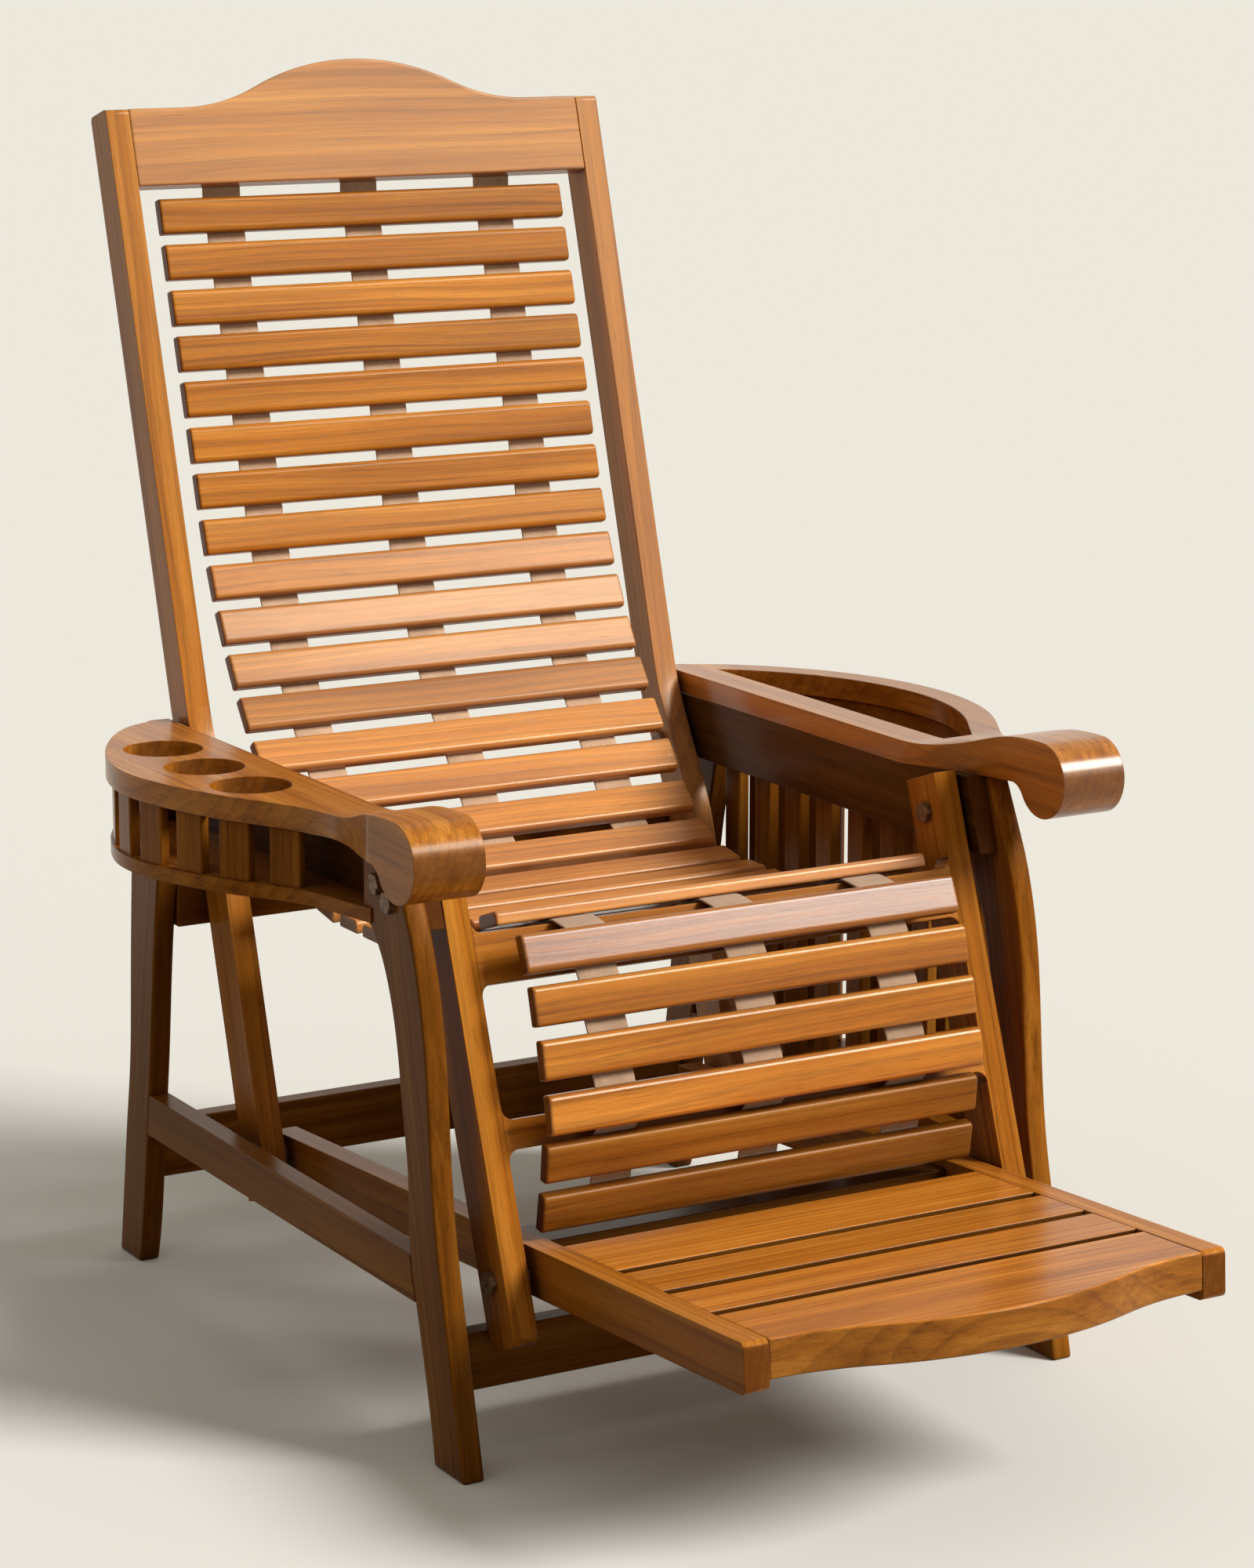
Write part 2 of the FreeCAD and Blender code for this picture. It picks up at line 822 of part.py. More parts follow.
def leg_point(above):
    """Point of the leg stile's middle line, at a distance above its upper pivot."""
    pivot = side_point(size("leg_pivot_place"), size("leg_pivot_height"))
    return pivot + uphill(leg_lean()) * above


def leg_stile(label, side):
    """A leg stile: a long bar with rounded ends and a hole for each pivot."""
    span = Term("sqrt((sizes.leg_pivot_place - sizes.rest_pivot_place) ^ 2"
                " + (sizes.leg_pivot_height - sizes.rest_pivot_height) ^ 2)", leg_span())
    above = term("leg_stile_above")
    below = term("leg_stile_below")
    body = bar(label, term("frame_thick"), term("leg_stile_deep"), span + above + below)
    round_edges(body, edges_along(body.Tip.Shape, X_AXIS, -Z_AXIS), term("leg_stile_round"))
    upper = (span + below - above) / 2
    lower = upper - span
    drill(body, "YZ_Plane", [(ZERO, upper), (ZERO, lower)], term("bolt_radius") + term("bolt_fit"))
    middle = leg_point(-upper.value)
    across = side * (size("frame_inner") + size("frame_thick") / 2)
    return settle(body, across, middle.y, middle.z, leg_lean())


def leg_rail(label, tall, drop):
    """A rail between the leg stiles, hollowed into them at its four corners."""
    body = new_body(label)
    half = term("frame_inner")
    fillet = term("rail_fillet")
    inner = half - fillet
    half_tall = tall / 2
    wide = half_tall + fillet
    corners = [
        (-half, -wide), (-inner, -half_tall), (inner, -half_tall), (half, -wide),
        (half, wide), (inner, half_tall), (-inner, half_tall), (-half, wide),
    ]
    radii = [-fillet, None, -fillet, None, -fillet, None, -fillet, None]
    pad(body, sketch_outline(body, "XZ_Plane", corners, radii), term("leg_rail_thick"))
    back = (size("leg_stile_deep") - size("leg_rail_thick")) / 2
    middle = leg_point(-size(drop) - tall.value / 2) - behind(leg_lean()) * back
    return settle(body, 0, middle.y, middle.z, leg_lean())


def make_leg_frame():
    """Two stiles and two rails that swing about the upper pivots."""
    nodes.append(leg_stile("leg_stile_left", -1))
    nodes.append(leg_stile("leg_stile_right", 1))
    nodes.append(leg_rail("leg_top_rail", term("top_rail_tall"), "top_rail_drop"))
    nodes.append(leg_rail("leg_mid_rail", term("mid_rail_tall"), "mid_rail_drop"))


# Foot rest


def rest_top(place):
    """Height of the foot rest's top face at a place."""
    return size("rest_front_height") - (place - size("rest_front")) * tan(radians(size("rest_slope")))


def rest_frame_point(place, depth):
    """Point under the foot rest's top face, square to it."""
    lean = size("rest_slope")
    top = side_point(place, rest_top(place))
    return top - Vector(0, sin(radians(lean)), cos(radians(lean))) * depth


def rest_rail_shape():
    """A long side rail: rounded ends and the two pivot holes."""
    front = size("rest_front")
    rear = rest_rear_pivot().y + size("rest_rear_reach")
    deep = size("rest_rail_tall")
    corners = [rest_frame_point(front, 0), rest_frame_point(rear, 0),
               rest_frame_point(rear, deep), rest_frame_point(front, deep)]
    edges = [run([corners[index], corners[(index + 1) % 4]]) for index in range(4)]
    rail = solid_from(edges, Vector(size("rest_rail_thick"), 0, 0))
    rail.translate(Vector(size("rest_inner"), 0, 0))
    ends = [edge for edge in rail.Edges
            if abs(edge.Curve.Direction.x) > ALONG_SHARE and edge.CenterOfMass.y < front + deep]
    rail = rail.makeFillet(size("rest_rail_round"), ends)
    front_pivot = side_point(size("rest_pivot_place"), size("rest_pivot_height"))
    rail = rail.cut(bolt_hole(front_pivot, size("bolt_radius") + size("bolt_fit")))
    return rail.cut(bolt_hole(rest_rear_pivot(), size("bolt_radius") + size("open_pin_fit")))


def rest_board(label, number):
    """One plain board of the foot rest, let in between the side rails."""
    body = bar(label, term("rest_inner") * 2, term("rest_board_wide"), term("rest_board_thick"))
    lean = size("rest_slope")
    pitch = size("rest_board_wide") + size("rest_slot")
    rear_edge = size("rest_front") + size("bow_deep") + size("rest_slot")
    place = rear_edge + size("rest_board_wide") / 2 + number * pitch
    middle = rest_frame_point(place, size("rest_board_thick") / 2)
    return settle(body, 0, middle.y, middle.z, lean)


def bow_shape():
    """Front board of the foot rest, bowed forward in a flat ogee."""
    half = size("rest_inner")
    front = size("rest_front")
    bulge = size("bow_bulge")
    both = (half * half + bulge * bulge) / (2 * bulge)
    turn = OGEE_SHARE
    hollow = both * (1 - turn)
    end = front - hollow
    turn_point = plan_point(half * turn, front - bulge + bulge * turn)
    left_turn = plan_point(-turn_point.x, turn_point.y)
    nose = plan_point(0, front - bulge)
    hollow_middle = hollow_arc_middle(plan_point(half, end), hollow, turn_point, plan_point(half, front))
    left_hollow = plan_point(-hollow_middle.x, hollow_middle.y)
    rear = front + size("bow_deep")
    edges = [
        run([plan_point(half, rear), plan_point(-half, rear)]),
        run([plan_point(-half, rear), plan_point(-half, front)]),
        arc(plan_point(-half, front), left_hollow, left_turn),
        arc(left_turn, nose, turn_point),
        arc(turn_point, hollow_middle, plan_point(half, front)),
        run([plan_point(half, front), plan_point(half, rear)]),
    ]
    board = solid_from(edges, Vector(0, 0, -size("bow_thick")))
    lean = size("rest_slope")
    board.translate(Vector(0, 0, rest_top(front)))
    pivot = side_point(front, rest_top(front))
    board.rotate(pivot, X_AXIS, -lean)
    return board


def hollow_arc_middle(centre, radius, start, stop):
    """Middle point of an arc from its centre, radius and ends."""
    middle = (start + stop) / 2 - centre
    return centre + middle.normalize() * radius


def make_foot_rest():
    """Side rails, three boards and the bowed front board."""
    rail = rest_rail_shape()
    nodes.append(feature("rest_rail_right", rail))
    nodes.append(feature("rest_rail_left", mirrored(rail)))
    for number in range(3):
        nodes.append(rest_board("rest_board_%d" % (number + 1), number))
    nodes.append(feature("rest_bow_board", bow_shape()))


# Side frames

# Edges of the legs as shares: of the leg's height, then of its sweep, reach, splay or width
FRONT_EDGE_SHARES = [(0, 0), (0.12, 0.127), (0.25, 0.26), (0.375, 0.385), (0.5, 0.46),
                     (0.635, 0.51), (0.75, 0.576), (0.825, 0.66), (0.885, 0.755), (1, 1)]
FRONT_REAR_SHARES = [(0, 0.309), (0.12, 0.382), (0.26, 0.489), (0.34, 0.545), (0.48, 0.565),
                     (0.58, 0.612), (0.695, 0.669), (0.795, 0.765), (0.845, 0.854), (0.885, 1)]
REAR_LEG_SHARES = [(0, 1, 0.61), (0.15, 0.81, 0.67), (0.27, 0.71, 0.66), (0.38, 0.61, 0.65),
                   (0.55, 0.5, 0.69), (0.75, 0.32, 0.79), (0.88, 0.15, 0.91), (1, 0, 1)]


def leg_solid(front_edge, rear_edge):
    """A leg plank from its two edges, each listed from the floor up."""
    edges = [
        run(front_edge),
        run([front_edge[-1], rear_edge[-1]]),
        run(rear_edge[::-1]),
        run([rear_edge[0], front_edge[0]]),
    ]
    leg = solid_from(edges, Vector(size("leg_thick"), 0, 0))
    leg.translate(Vector(size("leg_inner"), 0, 0))
    return leg


def front_leg_shape():
    """Sabre leg: swept back as it rises, with a flare under the arm."""
    tall = size("arm_underside")
    sweep = size("front_leg_sweep")
    reach = size("front_leg_reach")
    front_edge = [side_point(share * sweep, up * tall) for up, share in FRONT_EDGE_SHARES]
    rear_edge = [side_point(share * reach, up * tall) for up, share in FRONT_REAR_SHARES]
    low_part = leg_solid(front_edge[:-1], rear_edge)
    shoulder = front_edge[-2].z
    top = tall + size("cut_over")
    slope = (front_edge[-1].y - front_edge[-2].y) / (front_edge[-1].z - front_edge[-2].z)
    top_front = side_point(front_edge[-2].y + slope * (top - shoulder), top)
    edges = [
        run([front_edge[-2], top_front]),
        run([top_front, side_point(reach, top)]),
        run([side_point(reach, top), rear_edge[-1]]),
        run([rear_edge[-1], front_edge[-2]]),
    ]
    head = solid_from(edges, Vector(size("leg_thick"), 0, 0))
    head.translate(Vector(size("leg_inner"), 0, 0))
    return low_part.fuse(head).removeSplitter()


def rear_leg_shape():
    """Rear leg: splayed back to its foot and wide at the arm."""
    tall = size("arm_underside")
    front_edge = []
    rear_edge = []
    for up, splay, wide in REAR_LEG_SHARES:
        place = size("rear_leg_place") + splay * size("rear_leg_splay")
        front_edge.append(side_point(place, up * tall))
        rear_edge.append(side_point(place + wide * size("rear_leg_wide"), up * tall))
    return leg_solid(front_edge, rear_edge)


# Each arm's outer edge, rear to front: share of the bulge's length, share of the bulge
BULGE_SHARES = {
    "cup_bulge": [(0, 0.05), (0.035, 0.31), (0.11, 0.56), (0.216, 0.8), (0.31, 0.94),
                  (0.42, 1), (0.52, 0.95), (0.62, 0.83), (0.72, 0.66), (0.82, 0.44), (0.92, 0.31)],
    "rack_bulge": [(0, 0.05), (0.05, 0.3), (0.15, 0.6), (0.27, 0.83), (0.42, 0.97),
                   (0.53, 1), (0.66, 0.95), (0.78, 0.82), (0.88, 0.65), (0.96, 0.5)],
}


def bulge_points(bulge):
    """Points of an arm's bulging outer edge on the right side, rear to front."""
    return [plan_point(size("leg_inner") + wide * size(bulge),
                       size("bulge_start") - along * size("bulge_length"))
            for along, wide in BULGE_SHARES[bulge]]


def bulge_slab(bulge, inset, inner, bottom, top, front=None):
    """Slab under an arm: inside its bulge by an inset, and outside a straight inner line.

    It closes at the bulge's own front, or runs straight on to a given front place.
    """
    outline = bulge_points(bulge)
    curve = smooth_curve(outline)
    points = []
    for point in outline:
        tangent = curve.tangent(curve.parameter(point))[0]
        points.append(point + Vector(tangent.y, -tangent.x, 0) * inset)
    near = size("frame_half_width")
    if front is None:
        corners = [plan_point(near, size("bulge_start") - size("bulge_length") + inset)]
    else:
        corners = [plan_point(points[-1].x, front), plan_point(near, front)]
    corners = [points[-1]] + corners + [plan_point(near, points[0].y), points[0]]
    edges = [run(points)] + [run(list(pair)) for pair in zip(corners, corners[1:])]
    slab = solid_from(edges, Vector(0, 0, top - bottom))
    slab.translate(Vector(0, 0, bottom))
    side = box_between(Vector(inner, 0, 0), Vector(size("half_width") * 2, size("arm_rear"), top))
    return slab.common(side)


def largest(shape):
    """The biggest solid of a cut shape."""
    return max(shape.Solids, key=lambda solid: solid.Volume)


SCROLL_LAP_ANGLE = 35
NECK_PLACE_SHARES = [0.62, 0.4]
NECK_RISE_SHARES = [0.28, 0.68]
SOFFIT_RISE_SHARE = 0.55


def arm_profile():
    """Side outline of an arm: level board, rising neck and rolled scroll."""
    under = size("arm_underside")
    top = under + size("arm_thick")
    level_end = size("arm_level_end")
    rear = size("arm_rear")
    centre = side_point(size("scroll_centre_place"), size("scroll_centre_height"))
    radius = size("scroll_radius")
    crown = centre + Z_AXIS * radius
    nose = centre - Y_AXIS * radius
    lap_angle = radians(SCROLL_LAP_ANGLE)
    lap = centre + Vector(0, cos(lap_angle), -sin(lap_angle)) * radius
    hollow = size("scroll_hollow")
    throat = side_point(centre.y + radius + hollow, centre.z - hollow)
    throat_middle = (lap + throat) / 2 + Vector(0, -1, 1).normalize() * (hollow / 4)
    length = level_end - crown.y
    rise = crown.z - top
    neck = [side_point(crown.y + share * length, top + lift * rise)
            for share, lift in zip(NECK_PLACE_SHARES, NECK_RISE_SHARES)]
    soffit = side_point((throat.y + level_end) / 2, under + (throat.z - under) * SOFFIT_RISE_SHARE)
    edges = [
        run([side_point(rear, under), side_point(rear, top)]),
        run([side_point(rear, top), side_point(level_end, top)]),
        run([side_point(level_end, top)] + neck + [crown], -Y_AXIS, -Y_AXIS),
        arc(crown, nose, lap),
        arc(lap, throat_middle, throat),
        run([throat, soffit, side_point(level_end, under)]),
        run([side_point(level_end, under), side_point(rear, under)]),
    ]
    return edges


def arm_plan(bulge):
    """Plan outline of an arm: bulging board, narrow neck and scroll."""
    inner = size("board_inner")
    rear = size("arm_rear")
    level_end = size("arm_level_end")
    nose = size("scroll_centre_place") - size("scroll_radius") - size("scroll_slack")
    scroll_rear = size("scroll_centre_place") + size("scroll_radius") + 2 * size("scroll_slack")
    scroll_inner = size("scroll_inner")
    scroll_outer = size("scroll_outer")
    neck_place = (scroll_rear + size("bulge_start") - size("bulge_length")) / 2
    outer = bulge_points(bulge)
    edges = [
        run([plan_point(inner, rear), plan_point(inner, level_end)]),
        run([plan_point(inner, level_end), plan_point(scroll_inner, scroll_rear)], -Y_AXIS, -Y_AXIS),
        run([plan_point(scroll_inner, scroll_rear), plan_point(scroll_inner, nose)]),
        run([plan_point(scroll_inner, nose), plan_point(scroll_outer, nose)]),
        run([plan_point(scroll_outer, nose), plan_point(scroll_outer, scroll_rear)]),
        run([plan_point(scroll_outer, scroll_rear), plan_point(size("neck_outer"), neck_place)] + outer[::-1]),
        run([outer[0], plan_point(size("leg_inner"), rear)]),
        run([plan_point(size("leg_inner"), rear), plan_point(inner, rear)]),
    ]
    return edges


def arm_side():
    """The side outline of an arm pushed out across the whole right side."""
    return solid_from(arm_profile(), Vector(size("half_width") * 2, 0, 0))


def arm_shape(bulge):
    """An arm's top board with its scroll: its plan and its side outline, crossed."""
    tall = size("scroll_centre_height") + 2 * size("scroll_radius")
    plan = solid_from(arm_plan(bulge), Vector(0, 0, tall))
    return plan.common(arm_side())


CUP_INSET_SHARES = [1, 1, 0.93]


def cup_axis(number):
    """Centre of one cup hole on the right side, in plan."""
    across = size("leg_inner") + CUP_INSET_SHARES[number] * size("cup_inset")
    return plan_point(across, size("cup_first") - number * size("cup_pitch"))


def cup_arm_shape(arm):
    """The cup holder arm: its board with three round holes."""
    for number in range(3):
        hole = Part.makeCylinder(size("cup_radius"), size("arm_underside") * 2, cup_axis(number), Z_AXIS)
        arm = arm.cut(hole)
    return arm


def rack_arm_shape(arm):
    """The magazine arm: its board with the D-shaped pocket."""
    pocket = bulge_slab("rack_bulge", size("pocket_rim"), size("board_inner") + size("pocket_inner_rim"),
                        0, size("arm_underside") * 2)
    return arm.cut(pocket)


def curve_slats(bulge, start, pitch, count, inset, wide, thick, bottom, top):
    """Flat slats that stand along a bulge, each square to it."""
    curve = smooth_curve(bulge_points(bulge))
    slats = []
    for number in range(count):
        at = curve.parameterAtDistance(start + number * pitch)
        point = curve.value(at)
        tangent = curve.tangent(at)[0]
        slat_box = Part.makeBox(wide, thick, top - bottom, Vector(-wide / 2, inset, bottom))
        turn = degrees(atan2(-tangent.y, -tangent.x))
        slat_box.rotate(Vector(0, 0, 0), Z_AXIS, turn)
        slat_box.translate(point)
        slats.append(slat_box)
    return slats


CUP_SLATS = 7
RACK_CURVE_SLATS = 9
RACK_INNER_SLATS = 7


def make_side_frames():
    """Legs, side stretchers and deep inner boards of both sides."""
    arm = arm_side()
    front_leg = front_leg_shape().cut(arm)
    rear_leg = rear_leg_shape()
    stretcher = box_between(
        Vector(size("leg_inner"), front_leg.BoundBox.YMin, size("stretcher_bottom")),
        Vector(size("half_width"), size("rear_leg_place") + size("rear_leg_splay"),
               size("stretcher_bottom") + size("stretcher_tall")))
    stretcher = stretcher.cut(front_leg_shape()).cut(rear_leg_shape())
    stretcher = largest(stretcher)
    board = inner_board_shape().cut(arm)
    for pivot in (leg_pivot(), back_pivot()):
        board = board.cut(bolt_hole(pivot, size("bolt_radius") + size("bolt_fit")))
    for name, shape in (("front_leg", front_leg), ("rear_leg", rear_leg),
                        ("side_stretcher", stretcher), ("inner_arm_board", board)):
        nodes.append(feature(name + "_right", shape))
        nodes.append(feature(name + "_left", mirrored(shape)))


def inner_board_shape():
    """Deep board inside the legs that carries the arm."""
    lean_share = (size("front_leg_sweep") - size("board_front")) * 2
    top = size("arm_underside") + size("arm_thick")
    front = size("board_front")
    edges = [
        run([side_point(front, size("board_bottom")), side_point(front + lean_share, top)]),
        run([side_point(front + lean_share, top), side_point(size("arm_rear"), top)]),
        run([side_point(size("arm_rear"), top), side_point(size("arm_rear"), size("board_bottom"))]),
        run([side_point(size("arm_rear"), size("board_bottom")), side_point(front, size("board_bottom"))]),
    ]
    board = solid_from(edges, Vector(size("board_thick"), 0, 0))
    board.translate(Vector(size("board_inner"), 0, 0))
    return board


def leg_pivot():
    """Where the leg frame turns in the side frames."""
    return side_point(size("leg_pivot_place"), size("leg_pivot_height"))


def frame_bolt():
    """The bolt that ties an inner board to its front leg."""
    return side_point(size("frame_bolt_place"), size("frame_bolt_height"))


def rear_bolt():
    """The bolt that ties an inner board to its rear leg."""
    return side_point(size("rear_bolt_place"), size("rear_bolt_height"))


def make_cup_arm():
    """Left arm: top board with cup holes, shelf below it and short slats between."""
    arm = cup_arm_shape(arm_shape("cup_bulge"))
    nodes.append(feature("cup_arm_top", mirrored(arm)))
    shelf_bottom = size("board_bottom") - size("shelf_thick")
    shelf = bulge_slab("cup_bulge", size("shelf_inset"), size("leg_inner"), shelf_bottom,
                       size("board_bottom"), size("cup_shelf_front"))
    shelf = shelf.cut(front_leg_shape()).cut(rear_leg_shape())
    nodes.append(feature("cup_shelf", mirrored(largest(shelf))))
    slats = curve_slats("cup_bulge", size("cup_slat_start"), size("cup_slat_pitch"), CUP_SLATS,
                        size("cup_slat_inset"), size("cup_slat_wide"), size("cup_slat_thick"),
                        size("board_bottom"), size("arm_underside") + size("cut_over"))
    slats = [mirrored(piece.cut(arm_side())) for piece in slats]
    nodes.append(feature("cup_slats", Part.makeCompound(slats)))


def make_rack_arm():
    """Right arm: top board with its pocket, bent band, long slats and rack floor."""
    arm = rack_arm_shape(arm_shape("rack_bulge"))
    nodes.append(feature("rack_arm_top", arm))
    band_bottom = size("arm_underside") - size("band_tall")
    floor_top = size("rack_floor_bottom") + size("rack_floor_thick")
    band = bulge_slab("rack_bulge", size("slat_inset"), size("leg_inner"),
                      band_bottom, size("arm_underside") + size("cut_over"))
    hollow = bulge_slab("rack_bulge", size("slat_inset") + size("band_thick"), size("leg_inner"),
                        0, size("arm_underside") * 2)
    band = band.cut(hollow).cut(arm_side()).cut(front_leg_shape()).cut(rear_leg_shape())
    nodes.append(feature("rack_band", largest(band)))
    floor = bulge_slab("rack_bulge", size("shelf_inset"), size("half_width"),
                       size("rack_floor_bottom"), floor_top)
    nodes.append(feature("rack_floor", floor.Solids[0]))
    slats = curve_slats("rack_bulge", size("rack_curve_start"), size("rack_curve_pitch"),
                        RACK_CURVE_SLATS, size("slat_inset"), size("rack_slat_wide"),
                        size("rack_slat_thick"), floor_top, band_bottom)
    nodes.append(feature("rack_outer_slats", Part.makeCompound(slats)))
    stretcher_top = size("stretcher_bottom") + size("stretcher_tall")
    inner_slats = []
    for number in range(RACK_INNER_SLATS):
        low = Vector(size("leg_inner"), size("rack_slat_first") + number * size("rack_slat_pitch"),
                     stretcher_top)
        high = low + Vector(size("rack_slat_thick"), size("rack_slat_wide"),
                            size("rack_slat_top") - stretcher_top)
        inner_slats.append(box_between(low, high))
    nodes.append(feature("rack_inner_slats", Part.makeCompound(inner_slats)))


def cross_rail(label, place, bottom, tall):
    """A rail between the two side frames."""
    body = bar(label, term("leg_inner") * 2, term("cross_rail_thick"), tall)
    return settle(body, 0, place + size("cross_rail_thick") / 2, bottom + tall.value / 2)


def make_cross_rails():
    """Low front and rear rails, and the upper rear rail that the back rests against."""
    nodes.append(cross_rail("front_cross_rail", size("front_rail_place"),
                            size("front_rail_bottom"), term("front_rail_tall")))
    nodes.append(cross_rail("rear_cross_rail", size("rear_rail_place"),
                            size("rear_rail_bottom"), term("rear_rail_tall")))
    stop_place = back_stop_place() + size("stop_gap")
    nodes.append(cross_rail("upper_rear_rail", stop_place,
                            size("stop_rail_bottom"), term("stop_rail_tall")))


def back_stop_place():
    """How far back the stiles reach beside the upper rear rail."""
    bottom = size("stop_rail_bottom")
    window = box_between(Vector(0, 0, bottom),
                         Vector(size("half_width"), size("arm_rear") * 2, bottom + size("stop_rail_tall")))
    return stile_shape().common(window).BoundBox.YMax


# Bolts

HEX = 6
WASHER_SIDES = 12


def prism(pivot, sides, radius, start, stop):
    """A prism with flat sides along X between two places."""
    corners = []
    for corner in range(sides + 1):
        turn = radians(360 * corner / sides)
        corners.append(Vector(start, pivot.y + radius * cos(turn), pivot.z + radius * sin(turn)))
    return Part.Face(Part.makePolygon(corners)).extrude(Vector(stop - start, 0, 0))


def bolt_set(pivot, head, shank, washer, nut=None):
    """A bolt on one axis of the right side with its washer and nut, each given by two places on X."""
    radius = size("bolt_radius")
    start = Vector(min(shank), pivot.y, pivot.z)
    bolt = Part.makeCylinder(radius, max(shank) - min(shank), start, X_AXIS)
    bolt = bolt.fuse(prism(pivot, HEX, size("bolt_head_radius"), *head))
    bolt = bolt.fuse(prism(pivot, WASHER_SIDES, size("nut_radius"), *washer))
    if nut:
        bolt = bolt.fuse(prism(pivot, HEX, size("nut_radius"), *nut))
    return bolt.removeSplitter()


def both_sides(label, pieces):
    """A node with the same pieces on both sides."""
    shape = Part.makeCompound(pieces + [mirrored(piece) for piece in pieces])
    nodes.append(feature(label, shape))


def make_bolts():
    """Pivot bolts of the back, leg frame and foot rest, and the caps of the frame's own bolts."""
    gap = size("face_gap")
    tall = size("bolt_head_tall")
    stile_in = size("frame_inner")
    stile_out = size("frame_half_width")
    board_in = size("board_inner")
    pivots = []
    for pivot in (back_pivot(), leg_pivot()):
        head = (stile_in - gap - tall, stile_in - gap)
        shank = (stile_in - gap, size("leg_inner") - gap)
        pivots.append(bolt_set(pivot, head, shank, (stile_out + gap, board_in)))
    both_sides("frame_pivot_bolts", pivots)
    rest_in = size("rest_inner") - gap
    nut = (rest_in - size("nut_tall"), rest_in)
    head = (stile_out, stile_out + tall)
    shank = (nut[0], stile_out)
    spacer = (size("rest_half_width") + gap, stile_in)
    front = side_point(size("rest_pivot_place"), size("rest_pivot_height"))
    both_sides("rest_pivot_bolts", [bolt_set(front, head, shank, spacer, nut)])
    both_sides("link_pivot_bolts", [bolt_set(rest_rear_pivot(), head, shank, spacer, nut)])
    cap = (size("half_width"), size("half_width") + tall)
    caps = [prism(pivot, HEX, size("bolt_head_radius"), *cap)
            for pivot in (frame_bolt(), leg_pivot(), rear_bolt(), back_pivot())]
    both_sides("frame_bolts", caps)


make_side_frames()
make_cup_arm()
make_rack_arm()
make_cross_rails()
make_back_frame()
make_bed()
make_leg_frame()
make_foot_rest()
make_bolts()
doc.recompute()

for item in doc.Objects:
    if "Invalid" in item.State or "Error" in item.State:
        raise RuntimeError("%s did not build: %s" % (item.Label, item.State))
for node in nodes:
    if not node.Shape.isValid() or not node.Shape.Solids:
        raise RuntimeError("%s has no valid solid" % node.Label)
    node.Shape.exportStep("parts/%s.step" % node.Label)
print("%d nodes exported" % len(nodes))
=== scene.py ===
from math import cos, degrees, pi, radians, sin

import bmesh
import bpy
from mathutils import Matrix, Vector


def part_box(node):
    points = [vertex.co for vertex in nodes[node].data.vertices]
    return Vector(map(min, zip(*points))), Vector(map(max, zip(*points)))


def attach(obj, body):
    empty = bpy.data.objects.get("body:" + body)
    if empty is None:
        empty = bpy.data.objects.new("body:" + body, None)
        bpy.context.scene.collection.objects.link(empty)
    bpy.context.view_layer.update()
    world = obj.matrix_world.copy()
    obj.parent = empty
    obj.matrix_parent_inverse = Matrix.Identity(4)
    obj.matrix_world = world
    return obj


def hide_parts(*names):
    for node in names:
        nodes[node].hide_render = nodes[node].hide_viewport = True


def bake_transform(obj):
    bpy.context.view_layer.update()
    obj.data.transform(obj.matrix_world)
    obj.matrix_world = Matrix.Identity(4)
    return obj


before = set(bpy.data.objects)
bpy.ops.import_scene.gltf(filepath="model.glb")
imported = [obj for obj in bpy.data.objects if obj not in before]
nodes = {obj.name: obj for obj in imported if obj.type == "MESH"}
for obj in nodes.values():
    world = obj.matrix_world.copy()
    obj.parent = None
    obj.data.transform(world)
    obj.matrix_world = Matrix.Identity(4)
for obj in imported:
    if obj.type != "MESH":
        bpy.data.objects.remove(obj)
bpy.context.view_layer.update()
scene = bpy.context.scene

MM = 0.001

# The chair's places in the row frame: sideways and lengthwise shift of the outlines' origin
SIDE_SHIFT = -0.018
FRONT_SHIFT = -0.23907


def place(x, y, z):
    """A point given in the part source's chair places, in millimetres."""
    return Vector((x * MM + SIDE_SHIFT, y * MM + FRONT_SHIFT, z * MM))


def stand(name, data):
    """Put a mesh, a lamp or a camera in the scene."""
    item = bpy.data.objects.new(name, data)
    scene.collection.objects.link(item)
    return item


def piece(name, bm, material):
    """Put a finished mesh in the scene as one piece."""
    mesh = bpy.data.meshes.new(name)
    bm.to_mesh(mesh)
    bm.free()
    mesh.materials.append(material)
    return stand(name, mesh)


# Materials

